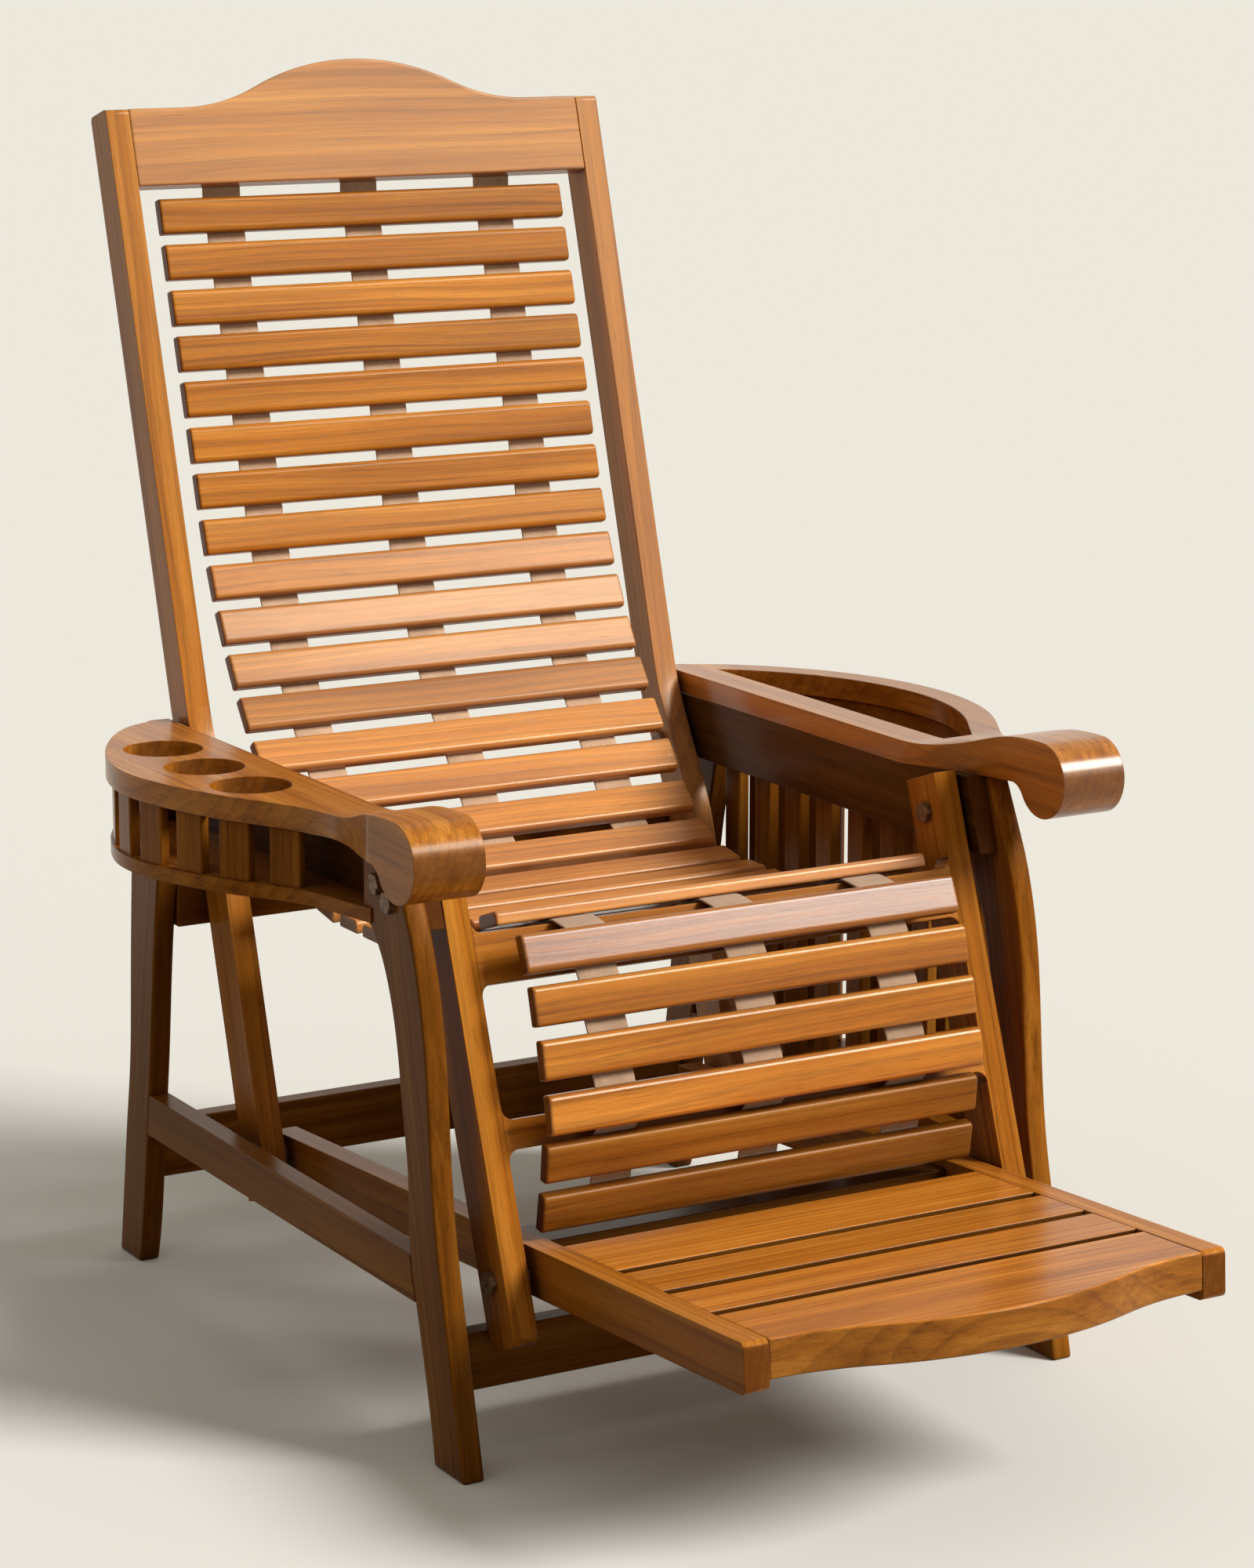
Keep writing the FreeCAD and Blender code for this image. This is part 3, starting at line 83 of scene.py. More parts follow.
class Graph:
    """A small helper that adds and links shader nodes."""

    def __init__(self, name):
        self.material = bpy.data.materials.new(name)
        self.material.use_nodes = True
        self.tree = self.material.node_tree
        self.tree.nodes.clear()

    def add(self, kind, inputs=None, **settings):
        node = self.tree.nodes.new(kind)
        for key, value in settings.items():
            setattr(node, key, value)
        for key, value in (inputs or {}).items():
            if isinstance(value, bpy.types.NodeSocket):
                self.tree.links.new(value, node.inputs[key])
            else:
                node.inputs[key].default_value = value
        return node

    def math(self, operation, first, second=0.0, clamp=False):
        node = self.add("ShaderNodeMath", {0: first, 1: second}, operation=operation, use_clamp=clamp)
        return node.outputs[0]

    def mix(self, share, first, second, blend_type="MIX"):
        node = self.add("ShaderNodeMix", {0: share, 6: first, 7: second},
                        data_type="RGBA", blend_type=blend_type)
        return node.outputs[2]

    def ramp(self, source, stops):
        node = self.add("ShaderNodeValToRGB", {0: source})
        elements = node.color_ramp.elements
        while len(elements) < len(stops):
            elements.new(0.5)
        for element, (position, colour) in zip(elements, stops):
            element.position = position
            element.color = colour
        return node.outputs[0]

    def noise(self, vector, scale, detail, roughness):
        node = self.add("ShaderNodeTexNoise", {"Vector": vector, "Scale": scale, "Detail": detail,
                                               "Roughness": roughness})
        return node.outputs[0]

    def finish(self, surface):
        self.add("ShaderNodeOutputMaterial", {"Surface": surface})
        return self.material


def grey(value):
    """A shade as a colour."""
    return (value, value, value, 1.0)


def grain_turn(direction):
    """Euler angles that bring a grain direction onto the local X axis."""
    return Vector(direction).rotation_difference(Vector((1, 0, 0))).to_euler()


def teak(name, direction, seed, tone, gloss, side_shade=1.0, painted_sheen=0.0):
    """Varnished teak with its grain along a direction, from a different board for each seed."""
    level, mirror_tint, roughness, coat = gloss
    g = Graph(name)
    texture = g.add("ShaderNodeTexCoord")
    turned = g.add("ShaderNodeMapping", {
        "Vector": texture.outputs["Object"], "Rotation": grain_turn(direction),
        "Location": (seed * 1.37, seed * 0.211, seed * 0.073)}, vector_type="POINT").outputs[0]

    def along_grain(source, along, across):
        return g.add("ShaderNodeMapping", {"Vector": source, "Scale": (along, across, across)}).outputs[0]

    # The grain runs nearly straight, with a slow wander
    wander = g.noise(along_grain(turned, 1.5, 5.0), 1.0, 2.0, 0.5)
    shifted = g.add("ShaderNodeVectorMath", {0: turned, 1: g.add("ShaderNodeCombineXYZ", {
        "Y": g.math("MULTIPLY", wander, 0.020), "Z": g.math("MULTIPLY", wander, 0.028)}).outputs[0]},
        operation="ADD").outputs[0]
    streaks = g.noise(along_grain(shifted, 1.1, 55.0), 1.0, 4.0, 0.6)
    lines = g.noise(along_grain(shifted, 1.6, 210.0), 1.0, 3.0, 0.55)
    fibre = g.noise(along_grain(shifted, 9.0, 620.0), 1.0, 4.0, 0.6)
    pores = g.noise(along_grain(turned, 34.0, 1700.0), 1.0, 2.0, 0.5)
    clouds = g.noise(along_grain(turned, 2.6, 8.0), 1.0, 3.0, 0.5)
    # Growth rings cut lengthwise, as long arches
    rings = g.add("ShaderNodeTexWave", {
        "Vector": g.add("ShaderNodeMapping", {"Vector": shifted, "Scale": (0.045, 1.0, 0.8)}).outputs[0],
        "Scale": 38.0, "Distortion": 3.2, "Detail": 2.5, "Detail Scale": 1.2, "Detail Roughness": 0.55},
        wave_type="RINGS", rings_direction="X", wave_profile="SAW").outputs[1]
    body = g.ramp(streaks, [(0.25, (0.34 * tone, 0.096 * tone, 0.009 * tone, 1)),
                            (0.5, (0.56 * tone, 0.188 * tone, 0.018 * tone, 1)),
                            (0.76, (0.76 * tone, 0.305 * tone, 0.044 * tone, 1))])
    ring_mask = g.ramp(rings, [(0.0, grey(1.04)), (0.6, grey(0.92)),
                               (0.93, grey(0.60)), (1.0, grey(0.80))])
    coloured = g.mix(0.55, body, ring_mask, "MULTIPLY")
    line_mask = g.ramp(lines, [(0.30, (0.52, 0.42, 0.34, 1)), (0.43, grey(0.96)), (0.72, grey(1.12))])
    coloured = g.mix(0.62, coloured, line_mask, "MULTIPLY")
    fibre_mask = g.ramp(fibre, [(0.32, grey(0.74)), (0.5, grey(0.98)), (0.72, grey(1.14))])
    coloured = g.mix(0.6, coloured, fibre_mask, "MULTIPLY")
    pore_mask = g.ramp(pores, [(0.34, grey(0.38)), (0.41, grey(1.0))])
    coloured = g.mix(0.5, coloured, pore_mask, "MULTIPLY")
    cloud_mask = g.ramp(clouds, [(0.3, (0.78, 0.72, 0.66, 1)), (0.7, (1.14, 1.14, 1.10, 1))])
    coloured = g.mix(0.8, coloured, cloud_mask, "MULTIPLY")
    # Painted sheen: the colour is mixed towards pale tan by the board's share
    coloured = g.mix(painted_sheen, coloured, (0.80, 0.53, 0.34, 1))
    # Painted shade: the upright sides of some boards are darkened next to their tops
    upward = g.add("ShaderNodeSeparateXYZ", {0: texture.outputs["Normal"]}).outputs[2]
    side_shade_share = g.add("ShaderNodeMapRange", {"Value": upward,
                                              "From Min": 0.75, "From Max": 0.40}).outputs[0]
    coloured = g.mix(side_shade_share, coloured, grey(side_shade), "MULTIPLY")
    # End grain soaks up more stain
    along = g.add("ShaderNodeVectorMath", {0: texture.outputs["Normal"], 1: direction},
                  operation="DOT_PRODUCT")
    end_share = g.add("ShaderNodeMapRange", {"Value": g.math("ABSOLUTE", along.outputs["Value"]),
                                             "From Min": 0.80, "From Max": 0.97}).outputs[0]
    coloured = g.mix(g.math("MULTIPLY", end_share, 0.75), coloured, (0.115, 0.034, 0.008, 1))
    # Painted shade: faces within 45 mm of other parts, in corners and gaps, are darkened, which also
    # stands for dark varnish gathered in the joints; edges are rubbed a little lighter
    corner = g.add("ShaderNodeAmbientOcclusion", {"Distance": 0.045}, samples=6)
    varnish_and_shade = g.ramp(corner.outputs[1], [(0.12, (0.22, 0.13, 0.08, 1)), (0.78, (1, 1, 1, 1))])
    coloured = g.mix(0.9, coloured, varnish_and_shade, "MULTIPLY")
    soft = g.add("ShaderNodeBevel", {"Radius": 0.0018}, samples=4)
    true_normal = g.add("ShaderNodeNewGeometry").outputs["True Normal"]
    facing = g.add("ShaderNodeVectorMath", {0: soft.outputs[0], 1: true_normal}, operation="DOT_PRODUCT")
    edge = g.math("MULTIPLY", g.math("SUBTRACT", 1.0, facing.outputs["Value"]), 2.6, True)
    worn = g.math("MULTIPLY", edge, g.math("GREATER_THAN", fibre, 0.5))
    coloured = g.mix(g.math("MULTIPLY", worn, 0.22), coloured, (0.50, 0.21, 0.06, 1))
    height = g.math("ADD", g.math("MULTIPLY", fibre, 0.5), g.math("MULTIPLY", pore_mask, 0.5))
    bump = g.add("ShaderNodeBump", {"Strength": 0.12, "Distance": 0.0005, "Height": height,
                                    "Normal": soft.outputs[0]})
    rough = g.add("ShaderNodeMapRange", {
        "Value": clouds, "From Min": 0.25, "From Max": 0.75,
        "To Min": 0.31 * roughness, "To Max": 0.22 * roughness}).outputs[0]
    shader = g.add("ShaderNodeBsdfPrincipled", {
        "Base Color": coloured, "Roughness": rough, "Normal": bump.outputs[0],
        "Coat Weight": coat, "Coat Roughness": 0.10, "Coat IOR": 1.45,
        "Specular IOR Level": level, "Specular Tint": mirror_tint})
    return g.finish(shader.outputs[0])


def webbing_material(name, tone):
    """Coarse woven cotton tape."""
    g = Graph(name)
    coordinates = g.add("ShaderNodeTexCoord").outputs["UV"]
    across = g.add("ShaderNodeSeparateXYZ", {0: coordinates})
    warp = g.math("SINE", g.math("MULTIPLY", across.outputs[0], 150.0))
    weft = g.math("SINE", g.math("MULTIPLY", across.outputs[1], 2600.0))
    weave = g.math("MULTIPLY", warp, weft)
    fuzz = g.noise(g.add("ShaderNodeTexCoord").outputs["Object"], 900.0, 3.0, 0.6)
    blotch = g.noise(g.add("ShaderNodeTexCoord").outputs["Object"], 30.0, 3.0, 0.5)
    colour = g.ramp(g.math("ADD", g.math("MULTIPLY", weave, 0.16), g.math("MULTIPLY", fuzz, 0.9)),
                    [(0.2, (0.36 * tone, 0.21 * tone, 0.12 * tone, 1)),
                     (0.5, (0.62 * tone, 0.40 * tone, 0.25 * tone, 1)),
                     (0.8, (0.66 * tone, 0.49 * tone, 0.35 * tone, 1))])
    tint = g.ramp(blotch, [(0.3, (0.78, 0.74, 0.70, 1)), (0.7, (1.05, 1.04, 1.02, 1))])
    colour = g.mix(0.8, colour, tint, "MULTIPLY")
    bump = g.add("ShaderNodeBump", {"Strength": 0.6, "Distance": 0.0008,
                                    "Height": g.math("ADD", g.math("MULTIPLY", weave, 0.5), fuzz)})
    shader = g.add("ShaderNodeBsdfPrincipled", {"Base Color": colour, "Roughness": 0.88,
                                                "Normal": bump.outputs[0], "Sheen Weight": 0.25})
    return g.finish(shader.outputs[0])


def bolt_material():
    """Dull plated steel, brown where it has tarnished."""
    g = Graph("bolt_metal")
    coordinates = g.add("ShaderNodeTexCoord").outputs["Object"]
    spots = g.noise(coordinates, 260.0, 4.0, 0.6)
    colour = g.ramp(spots, [(0.35, (0.060, 0.026, 0.012, 1)), (0.65, (0.26, 0.135, 0.070, 1))])
    rough = g.ramp(spots, [(0.3, grey(0.55)), (0.7, grey(0.32))])
    soft = g.add("ShaderNodeBevel", {"Radius": 0.001}, samples=4)
    bump = g.add("ShaderNodeBump", {"Strength": 0.3, "Distance": 0.0003, "Height": spots,
                                    "Normal": soft.outputs[0]})
    shader = g.add("ShaderNodeBsdfPrincipled", {"Base Color": colour, "Metallic": 0.45,
                                                "Roughness": rough, "Normal": bump.outputs[0]})
    return g.finish(shader.outputs[0])


LENGTHWISE = (0, 1, 0)
ACROSS = (1, 0, 0)
UPRIGHT = (0, 0, 1)
BACK_LEAN = (0, 0.2756, 0.9613)
LEG_LEAN = (0, 0.33, 0.944)

# Which way a piece's grain runs, else across the chair
GRAIN = {
    "front_leg": (0, 0.22, 0.975),
    "rear_leg": (0, -0.16, 0.987),
    "side_stretcher": LENGTHWISE,
    "inner_arm_board": LENGTHWISE,
    "cup_arm_top": LENGTHWISE,
    "cup_shelf": LENGTHWISE,
    "cup_slats": UPRIGHT,
    "rack_arm_top": LENGTHWISE,
    "rack_band": LENGTHWISE,
    "rack_floor": LENGTHWISE,
    "rack_outer_slats": UPRIGHT,
    "rack_inner_slats": UPRIGHT,
    "back_stile": BACK_LEAN,
    "leg_stile": LEG_LEAN,
    "rest_rail": (0, 0.998, -0.059),
}

# How light the wood of a piece is next to plain teak; the first start of a name that fits counts
TONE = {
    "crest_rail": 1.02,
    "front_leg_right": 0.62,
    "front_leg": 0.44,
    "rear_leg": 0.44,
    "side_stretcher": 0.42,
    "front_cross_rail": 0.40,
    "rear_cross_rail": 0.42,
    "upper_rear_rail": 0.45,
    # Painted shade: the inner arm boards are darkened where they face away from the light
    "inner_arm_board": 0.18,
    "rack_arm_top": 0.86,
    "cup_arm_top": 0.84,
    "rack_inner_slats": 0.46,
    "rack_outer_slats": 0.55,
    "rack_band": 0.60,
    "rack_floor": 0.55,
    "cup_slats": 0.58,
    "cup_shelf": 0.66,
    "back_stile": 0.92,
    # Painted light: the seat slats are lightened where the arms shade them
    "seat_": 1.32,
    "rest_rail": 0.94,
    "rest_board": 1.16,
    "rest_bow_board": 1.16,
    "back_slat_1": 0.92,
    "leg_stile": 0.86,
    "leg_slat_1": 0.80,
    "leg_slat_5": 0.56,
    "leg_slat_6": 0.44,
}

# Painted shade on the upright sides of a board: how light they are next to its top
SIDE_SHADE = {
    "rest_bow_board": 0.56,
    "rest_board": 0.25,
    "rest_rail": 0.80,
}

# Painted sheen: how far a board's colour is mixed towards pale tan, as a share
PAINTED_SHEEN = {
    "crest_rail": 0.22,
    "back_stile_right": 0.16,
    "back_slat_09": 0.08,
    "back_slat_1": 0.12,
    "seat_": 0.14,
}

# Gloss: specular level, the varnish's tint of what it mirrors, how rough it is next to the rest,
# and how much clear coat lies on it
PLAIN_GLOSS = (0.20, (1.0, 0.84, 0.62, 1), 1.0, 0.06)
BRIGHT_GLOSS = (0.50, (1.0, 0.92, 0.82, 1), 0.85, 0.10)
WARM_GLOSS = (0.20, (1.0, 0.62, 0.36, 1), 1.0, 0.03)
CLEAR_GLOSS = (0.45, (1.0, 0.80, 0.60, 1), 0.75, 0.05)
PALE_GLOSS = (0.42, (0.84, 0.97, 1.0, 1), 0.80, 0.10)
DARK_GLOSS = (0.10, (1.0, 0.42, 0.14, 1), 1.0, 0.0)
GLOSS = {
    "front_leg": DARK_GLOSS,
    "rear_leg": DARK_GLOSS,
    "side_stretcher": DARK_GLOSS,
    "front_cross_rail": DARK_GLOSS,
    "rear_cross_rail": DARK_GLOSS,
    "upper_rear_rail": DARK_GLOSS,
    "inner_arm_board": DARK_GLOSS,
    "rack_arm_top": BRIGHT_GLOSS,
    "rack_": DARK_GLOSS,
    "cup_slats": DARK_GLOSS,
    "cup_shelf": DARK_GLOSS,
    "rest_rail": DARK_GLOSS,
    "leg_slat_1": PALE_GLOSS,
    "leg_slat_5": WARM_GLOSS,
    "leg_slat_6": WARM_GLOSS,
    "leg_slat": CLEAR_GLOSS,
    "seat_": CLEAR_GLOSS,
    "leg_stile": DARK_GLOSS,
    "leg_": WARM_GLOSS,
}

# How far edges are rounded over, in metres
EASED = {
    "back_slat": 0.0042,
    "leg_slat": 0.0045,
    "seat_": 0.0042,
    "front_leg": 0.0030,
    "rear_leg": 0.0030,
    "rest_rail": 0.0035,
    "rest_bow_board": 0.0020,
}


def by_start(table, name, otherwise):
    """The first entry of a table that a name starts with."""
    for start, value in table.items():
        if name.startswith(start):
            return value
    return otherwise


bolts = bolt_material()
for number, (name, item) in enumerate(sorted(nodes.items())):
    if "bolt" in name:
        material = bolts
    else:
        # No two boards are quite as light as each other
        board_to_board = 0.94 + 0.13 * ((number * 37) % 11) / 10
        tone = by_start(TONE, name, 1.0) * board_to_board
        seed = number * 0.61 + 1.0
        material = teak("teak_" + name, by_start(GRAIN, name, ACROSS), seed, tone,
                        by_start(GLOSS, name, PLAIN_GLOSS), by_start(SIDE_SHADE, name, 1.0),
                        by_start(PAINTED_SHEEN, name, 0.0))
    item.data.materials.clear()
    item.data.materials.append(material)
    for polygon in item.data.polygons:
        polygon.material_index = 0


# Soft edges on the timber

# Points nearer than this are one, faces within this angle are one, and edges from this angle are corners
SAME_SPOT = 0.00001
FLAT_WITHIN = radians(0.4)
CORNER_FROM = radians(35)


def clean_copy(node):
    """The node's mesh with its flat faces whole, for work on its edges."""
    bm = bmesh.new()
    bm.from_mesh(node.data)
    bmesh.ops.remove_doubles(bm, verts=bm.verts, dist=SAME_SPOT)
    bmesh.ops.dissolve_limit(bm, angle_limit=FLAT_WITHIN, verts=bm.verts, edges=bm.edges)
    return bm


def sharp_edges(bm, chosen):
    """Edges with a real corner whose middle passes a test."""
    return [edge for edge in bm.edges
            if len(edge.link_faces) == 2 and edge.calc_face_angle(0.0) > CORNER_FROM
            and chosen((edge.verts[0].co + edge.verts[1].co) / 2)]


def reshape(name, bm):
    """Make the small changes of shape that a node's stand-in has."""
    if name in WIDENED:
        widened(bm, WIDENED[name])
    for vert in bm.verts:
        for region, moved in RESHAPED.get(name, []):
            if region(vert.co):
                vert.co += Vector(moved)
    rear_end = max(vert.co.y for vert in bm.verts)
    for vert in bm.verts:
        vert.co.z += TILTED.get(name, 0.0) * (rear_end - vert.co.y)


def rounded(name, width, chosen):
    """Stand a copy with some edges well rounded over in for a node, on the body the node rides."""
    node = nodes[name]
    bm = clean_copy(node)
    reshape(name, bm)
    bmesh.ops.bevel(bm, geom=sharp_edges(bm, chosen), offset=width, segments=5, profile=0.5,
                    affect="EDGES", clamp_overlap=True)
    for face in bm.faces:
        face.smooth = True
    for edge in bm.edges:
        edge.smooth = edge.calc_face_angle(0.0) < CORNER_FROM
    item = piece(name + "_rounded", bm, node.data.materials[0])
    even = item.modifiers.new("even_shading", "WEIGHTED_NORMAL")
    even.keep_sharp = True
    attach(item, "foot_rest" if name.startswith("rest") else "side_frames")
    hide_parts(name)


def islands(bm):
    """The mesh's separate pieces, each a list of vertices."""
    left = dict.fromkeys(bm.verts)
    while left:
        first = next(iter(left))
        del left[first]
        found = [first]
        for vert in found:
            for edge in vert.link_edges:
                other = edge.other_vert(vert)
                if other in left:
                    del left[other]
                    found.append(other)
        yield found


def widened(bm, share):
    """Widen each slat of a curved row along the row, which its two corners at one end show."""
    for verts in islands(bm):
        middle = sum((vert.co for vert in verts), Vector()) / len(verts)
        flat = [Vector((vert.co.x - middle.x, vert.co.y - middle.y, 0)) for vert in verts]
        corner = max(flat, key=lambda spot: spot.length)

        def reach(spot):
            same_end = 0 < spot.dot(corner) < corner.length_squared * 0.98
            return spot.length if same_end else 0

        other = max(flat, key=reach)
        along = (corner + other).normalized()
        for vert, spot in zip(verts, flat):
            vert.co += along * (spot.dot(along) * share)


def ease(item, width):
    """Take the sharpness off every remaining corner."""
    weld = item.modifiers.new("joined_faces", "WELD")
    weld.merge_threshold = SAME_SPOT
    flat = item.modifiers.new("whole_faces", "DECIMATE")
    flat.decimate_type = "DISSOLVE"
    flat.angle_limit = FLAT_WITHIN
    bevel = item.modifiers.new("eased_edges", "BEVEL")
    bevel.width = width
    bevel.segments = 4
    bevel.limit_method = "ANGLE"
    bevel.angle_limit = CORNER_FROM
    bevel.use_clamp_overlap = True


# Height of the arm tops' undersides and of the cup shelf's middle, how far out from the chair's middle
# the inner arm boards' outer faces are, and the foot rest's fall towards the rear
SOLE_TOP = 0.541
SHELF_MIDDLE = 0.451
ARM_OUTSIDE = 0.322
REST_SLOPE = 0.0594

# Rows of slats that stand closer together, by how much each grows
WIDENED = {"rack_outer_slats": 0.62}

# Boards that rise towards the front, by how much for each metre
TILTED = {"cup_shelf": 0.022}


def narrower(middle, by=0.002):
    """Both long edges of a foot rest board moved towards its middle."""
    return [(lambda spot: spot.y < middle, (0, by, 0)), (lambda spot: spot.y > middle, (0, -by, 0))]


# Small changes of shape that follow the photograph: where, and how far in metres
RESHAPED = {
    "cup_shelf": [(lambda spot: spot.x < -0.345 and spot.y < -0.05, (0.0105, 0, 0)),
                  (lambda spot: spot.z < SHELF_MIDDLE, (0, 0, 0.007))],
    "rest_board_1": narrower(-0.44),
    "rest_board_2": narrower(-0.36),
    "rest_board_3": [(lambda spot: spot.y < -0.30, (0, 0.002, 0)),
                     (lambda spot: spot.y > -0.27, (0, 0.026, -0.026 * REST_SLOPE))],
}


def outside_left(middle):
    """Edges on top of the arms, and those outside the left inner board."""
    return middle.z > SOLE_TOP or middle.x < SIDE_SHIFT - ARM_OUTSIDE


def outside_right(middle):
    """Edges on top of the arms, and those outside the right inner board."""
    return middle.z > SOLE_TOP or middle.x > SIDE_SHIFT + ARM_OUTSIDE


# Pieces with some edges rounded over for good: how far in metres, and which edges
ROUNDED = {
    "cup_arm_top": (0.006, outside_left),
    "rack_arm_top": (0.006, outside_right),
    "cup_shelf": (0.006, outside_left),
    "rack_floor": (0.005, outside_right),
    "rack_outer_slats": (0.002, lambda middle: True),
    "rest_board": (0.0012, lambda middle: True),
}

for name, item in nodes.items():
    if "strap" in name or "bolt" in name:
        continue
    rounding = by_start(ROUNDED, name, None)
    if rounding:
        rounded(name, *rounding)
    else:
        ease(item, by_start(EASED, name, 0.0022))


# The batten's middle along and up the chair, and its width and thickness
BATTEN_PLACE = (-0.151, 0.174)
BATTEN_SECTION = (0.060, 0.014)


def rear_batten():
    """A narrow board under the leg slats, which joins the foot rest's rails; its near-black tone is
    painted shade.
    """
    lowest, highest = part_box("rest_board_3")
    middle = Vector(((lowest.x + highest.x) / 2, *BATTEN_PLACE))
    size = Vector((highest.x - lowest.x, *BATTEN_SECTION))
    bm = bmesh.new()
    bmesh.ops.create_cube(bm, size=1.0)
    for vert in bm.verts:
        vert.co = middle + Vector((vert.co.x * size.x, vert.co.y * size.y,
                                   vert.co.z * size.z - vert.co.y * size.y * REST_SLOPE))
    bmesh.ops.bevel(bm, geom=list(bm.edges), offset=0.002, segments=3, profile=0.5, affect="EDGES")
    item = piece("rest_rear_batten", bm,
                 teak("teak_rest_rear_batten", ACROSS, seed=44.0, tone=0.20, gloss=DARK_GLOSS))
    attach(item, "foot_rest")


rear_batten()


# Webbing

# The slatted bed's path: each stretch's length and radius in millimetres, as in the part source
BED_STRETCHES = [(286, 0), (600 * radians(23), 600), (95, 0), (150 * radians(51), 150), (80, 0),
                 (250 * radians(20), 250)]
# Where the faces of the first back slat and the first leg slat are, as (place, height)
BED_TOP = (790.8, 1016.8)
LEG_TOP = (62.0, 441.5)
BACK_ANGLE = 16.0
BACK_PITCH = 45.0
SEAT_PITCH = 47.0
SLAT_HALF_WIDE = 17.5
SLAT_THICK = 13.0
# The crest rail's face, and how high on its rear face the tape is fixed
CREST_FACE = (787.1, 1043.4)
CREST_FIXING = 41.5
CREST_THICK = 24.0
WEB_THICK = 2.6
WEB_WIDE = 40.0
WEB_PLACES = (-150, 0, 150)
# The tape lies a hair behind the slats, and its hems are this many points long
WEB_GAP = 0.15
HEM_POINTS = 7


def step_along(point, lean, length, radius):
    """Move down the bed's face along one stretch; points are (place, height) in millimetres."""
    if not radius:
        return point - Vector((sin(radians(lean)), cos(radians(lean)))) * length, lean
    turned = lean + degrees(length / radius)
    move = Vector((cos(radians(turned)) - cos(radians(lean)), sin(radians(lean)) - sin(radians(turned))))
    return point + move * radius, turned


def bed_face(distance):
    """Point and lean of the bed's face at a distance down from its first slat."""
    point, lean = Vector(BED_TOP), BACK_ANGLE
    for length, radius in BED_STRETCHES:
        if distance <= length:
            return step_along(point, lean, distance, radius)
        point, lean = step_along(point, lean, length, radius)
        distance -= length
    return step_along(point, lean, distance, 0)


def bed_slats():
    """Face point and lean of the twelve back slats and the twelve seat slats."""
    distances = [BACK_PITCH * number for number in range(12)]
    distances += [BACK_PITCH * 11 + SEAT_PITCH * number for number in range(1, 13)]
    return [bed_face(distance) for distance in distances]


def leg_slats():
    """Face point and lean of the six leg slats."""
    point = Vector(LEG_TOP)
    run = [(point, 24)]
    for step, lean in zip((24, 18, 15, -9, -9), (15, 11, 10, -5, -9)):
        point = point - Vector((sin(radians(step)), cos(radians(step)))) * SEAT_PITCH
        run.append((point, lean))
    return run


def behind(face, lean, uphill, depth):
    """A point of a slat's section, up from its middle and in from its face."""
    up = Vector((sin(radians(lean)), cos(radians(lean))))
    inward = Vector((cos(radians(lean)), -sin(radians(lean))))
    return face + up * uphill + inward * depth


def web_line(run):
    """The tape's middle line behind a run of slats."""
    depth = SLAT_THICK + WEB_THICK / 2 + WEB_GAP
    return [behind(face, lean, up, depth)
            for face, lean in run for up in (SLAT_HALF_WIDE, -SLAT_HALF_WIDE)]


def even_line(points, spacing=3.5):
    """The same line with evenly spaced points, its corners eased a little."""
    fine = [points[0]]
    for start, stop in zip(points, points[1:]):
        count = max(1, round((stop - start).length / spacing))
        fine += [start.lerp(stop, part / count) for part in range(1, count + 1)]
    for _ in range(2):
        eased = [(a + b * 2 + c) / 4 for a, b, c in zip(fine, fine[1:], fine[2:])]
        fine = [fine[0]] + eased + [fine[-1]]
    return fine


def webbing(name, line, hems, tone):
    """Three woven tapes along one line, doubled over into a hem where an end is fixed."""
    bm = bmesh.new()
    uv = bm.loops.layers.uv.new("weave")
    across = [-1, -0.97, -0.86, -0.6, -0.3, 0, 0.3, 0.6, 0.86, 0.97, 1]
    for centre in WEB_PLACES:
        rings = []
        along = 0.0
        for number, point in enumerate(line):
            before = line[max(number - 1, 0)]
            after = line[min(number + 1, len(line) - 1)]
            along += (point - before).length
            tangent = (after - before).normalized()
            normal = Vector((-tangent.y, tangent.x))
            left = len(line) - 1 - number
            doubled = (hems[0] and number < HEM_POINTS) or (hems[1] and left < HEM_POINTS)
            ring = []
            for side in (1, -1):
                for share in across[::side]:
                    thick = WEB_THICK * (0.5 - 0.22 * abs(share) ** 12)
                    if doubled and side == -1:
                        thick += WEB_THICK * 0.8
                    spot = point + normal * (side * thick)
                    ring.append((bm.verts.new(place(centre + share * WEB_WIDE / 2, spot.x, spot.y)),
                                 (share * 0.5 + 0.5, along * MM)))
            rings.append(ring)
        for ring, following in zip(rings, rings[1:]):
            count = len(ring)
            for index in range(count):
                corners = [ring[index], ring[(index + 1) % count],
                           following[(index + 1) % count], following[index]]
                face = bm.faces.new([corner[0] for corner in corners])
                face.smooth = True
                for loop, corner in zip(face.loops, corners):
                    loop[uv].uv = corner[1]
        for ring in (rings[0][::-1], rings[-1]):
            face = bm.faces.new([corner[0] for corner in ring])
            for loop, corner in zip(face.loops, ring):
                loop[uv].uv = corner[1]
    bmesh.ops.recalc_face_normals(bm, faces=bm.faces)
    item = piece(name, bm, webbing_material(name + "_tape", tone))
    return item


# Radius and height of a tack head's rings in millimetres, and how far from the tape's middle it is
TACK_RINGS = [(4.2, 0.0), (4.1, 0.5), (3.3, 1.2), (1.9, 1.75)]
TACK_HEIGHT = 1.95
TACK_CORNERS = 14
TACK_OFFSET = 11


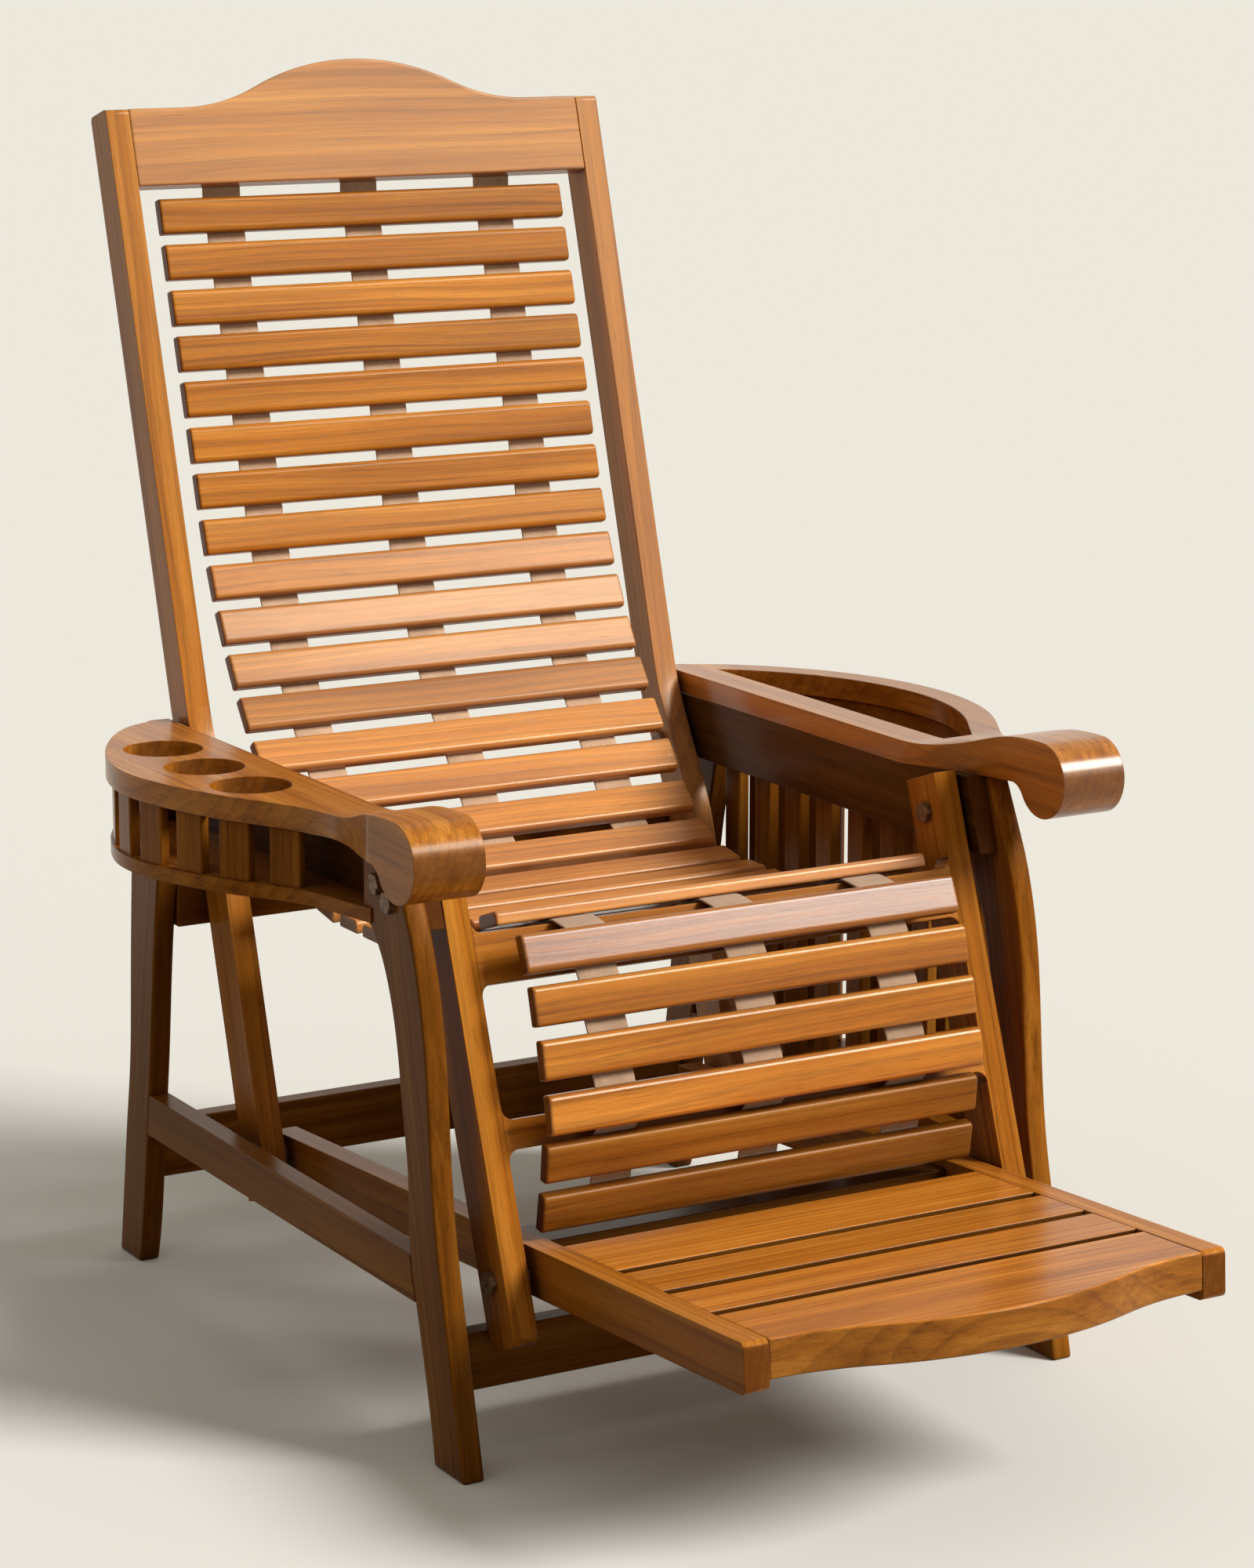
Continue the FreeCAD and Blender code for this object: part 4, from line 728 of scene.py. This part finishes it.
def tacks(name, spots):
    """Domed tack heads: each spot is a place across, a line point and the outward direction there."""
    bm = bmesh.new()
    for centre, point, outward in spots:
        axis = Vector((0, outward.x, outward.y)).normalized()
        side = Vector((1, 0, 0))
        other = axis.cross(side)
        rings = []
        for radius, rise in TACK_RINGS:
            ring = []
            for corner in range(TACK_CORNERS):
                turn = 2 * pi * corner / TACK_CORNERS
                spot = side * (radius * cos(turn)) + other * (radius * sin(turn)) + axis * rise
                ring.append(bm.verts.new(place(centre, point.x, point.y) + spot * MM))
            rings.append(ring)
        crown = bm.verts.new(place(centre, point.x, point.y) + axis * (TACK_HEIGHT * MM))
        for ring, following in zip(rings, rings[1:]):
            for index in range(TACK_CORNERS):
                after = (index + 1) % TACK_CORNERS
                face = bm.faces.new([ring[index], ring[after], following[after], following[index]])
                face.smooth = True
        for index in range(TACK_CORNERS):
            face = bm.faces.new([rings[-1][index], rings[-1][(index + 1) % TACK_CORNERS], crown])
            face.smooth = True
        bm.faces.new(rings[0][::-1])
    bmesh.ops.recalc_face_normals(bm, faces=bm.faces)
    item = piece(name, bm, bolts)
    return item


def tack_spots(run):
    """A pair of tacks through each tape into each slat of a run."""
    spots = []
    for face, lean in run:
        outward = Vector((cos(radians(lean)), -sin(radians(lean))))
        point = behind(face, lean, 0, SLAT_THICK + WEB_THICK + 0.1)
        for centre in WEB_PLACES:
            for offset in (-TACK_OFFSET, TACK_OFFSET):
                spots.append((centre + offset, point, outward))
    return spots


slats = bed_slats()
legs = leg_slats()
back_line = web_line(slats[:12])
rear_line = web_line(slats[12:18])
front_line = web_line(slats[18:])
leg_line = web_line(legs)
crest_end = behind(Vector(CREST_FACE), BACK_ANGLE, CREST_FIXING,
                   CREST_THICK - SLAT_THICK + WEB_THICK / 2 + WEB_GAP)
# The upper and the lower tapes end a little short of each other, in the middle of the seat
half_gap = (front_line[0] - rear_line[-1]) * 0.46
upper_line = [crest_end] + back_line + rear_line + [rear_line[-1] + half_gap]
# Painted light: the back and seat tape is 1.4 times lighter than the leg tape, where the slats shade it
upper = webbing("back_and_seat_webbing", even_line(upper_line), hems=(True, False), tone=1.4)
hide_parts("back_straps", "seat_rear_straps")
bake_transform(upper)
lower_line = [front_line[0] - half_gap] + front_line + leg_line
lower = webbing("leg_and_seat_webbing", even_line(lower_line), hems=(False, True), tone=1.0)
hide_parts("leg_straps", "seat_front_straps")
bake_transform(lower)
for body, run in (("back_frame", slats[:12]), ("seat_rear", slats[12:18]),
                  ("seat_front", slats[18:]), ("leg_frame", legs)):
    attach(tacks("tacks_" + body, tack_spots(run)), body)


# Stage, light and camera

CREAM = (0.847, 0.821, 0.744, 1)
# The lit floor has to be lighter than the sky to look the same
FLOOR_CREAM = (0.888, 0.863, 0.798, 1)
FLOOR_HALF_WIDE = 150


def seen_or_mirrored(g):
    """1 where the camera, a mirror or a glass sees the stage, 0 where it only passes light on."""
    path = g.add("ShaderNodeLightPath").outputs
    seen = g.math("MAXIMUM", path["Is Camera Ray"], path["Is Glossy Ray"])
    return g.math("MAXIMUM", seen, path["Is Transmission Ray"])


def floor_paint():
    """Cream floor that hands little light back to the object."""
    g = Graph("floor_paint")
    colour = g.mix(seen_or_mirrored(g), (0.22, 0.20, 0.17, 1), FLOOR_CREAM)
    return g.finish(g.add("ShaderNodeBsdfDiffuse", {"Color": colour}).outputs[0])


floor_mesh = bpy.data.meshes.new("floor")
floor_mesh.from_pydata([(across * FLOOR_HALF_WIDE, along * FLOOR_HALF_WIDE, 0)
                        for across, along in ((-1, -1), (1, -1), (1, 1), (-1, 1))], [], [(0, 1, 2, 3)])
floor_mesh.materials.append(floor_paint())
stand("floor", floor_mesh)


class WorldGraph(Graph):
    """The same helper for the world's nodes."""

    def __init__(self, world):
        world.use_nodes = True
        self.tree = world.node_tree
        self.tree.nodes.clear()


world = bpy.data.worlds.new("studio")
scene.world = world
sky = WorldGraph(world)
strength = sky.add("ShaderNodeMapRange", {"Value": seen_or_mirrored(sky),
                                          "To Min": 0.41, "To Max": 1.0}).outputs[0]
background = sky.add("ShaderNodeBackground", {"Color": CREAM, "Strength": strength})
sky.add("ShaderNodeOutputWorld", {"Surface": background.outputs[0]})


def sun(name, energy, towards, angle, colour):
    """Soft even light from one direction, given as the way towards it."""
    data = bpy.data.lights.new(name, "SUN")
    data.energy = energy
    data.angle = radians(angle)
    data.color = colour
    stand(name, data).rotation_euler = Vector(towards).to_track_quat("Z", "Y").to_euler()


BACK_MIDDLE = place(270, 640, 700)


def soft_box(name, power, towards, distance, size):
    """A square lamp facing the lower part of the chair's back."""
    data = bpy.data.lights.new(name, "AREA")
    data.energy = power
    data.shape = "SQUARE"
    data.size = size
    item = stand(name, data)
    aim = Vector(towards).normalized()
    item.location = BACK_MIDDLE + aim * distance
    item.rotation_euler = aim.to_track_quat("Z", "Y").to_euler()


sun("key", 3.22, (0.560, -0.590, 0.590), 21, (1.0, 0.995, 0.985))
soft_box("front_box", 4.5, (0.489, -0.829, 0.269), 3.6, 1.0)

camera_data = bpy.data.cameras.new("photo_camera")
camera_data.sensor_fit = "VERTICAL"
camera_data.sensor_height = 36.0
camera_data.lens = 96.45
camera = stand("photo_camera", camera_data)
camera.location = place(-1882.2, -2985.1, 1338.4)
camera.rotation_euler = Vector((0.48899, 0.84637, -0.21105)).to_track_quat("-Z", "Y").to_euler()
scene.camera = camera
scene.view_settings.view_transform = "Standard"
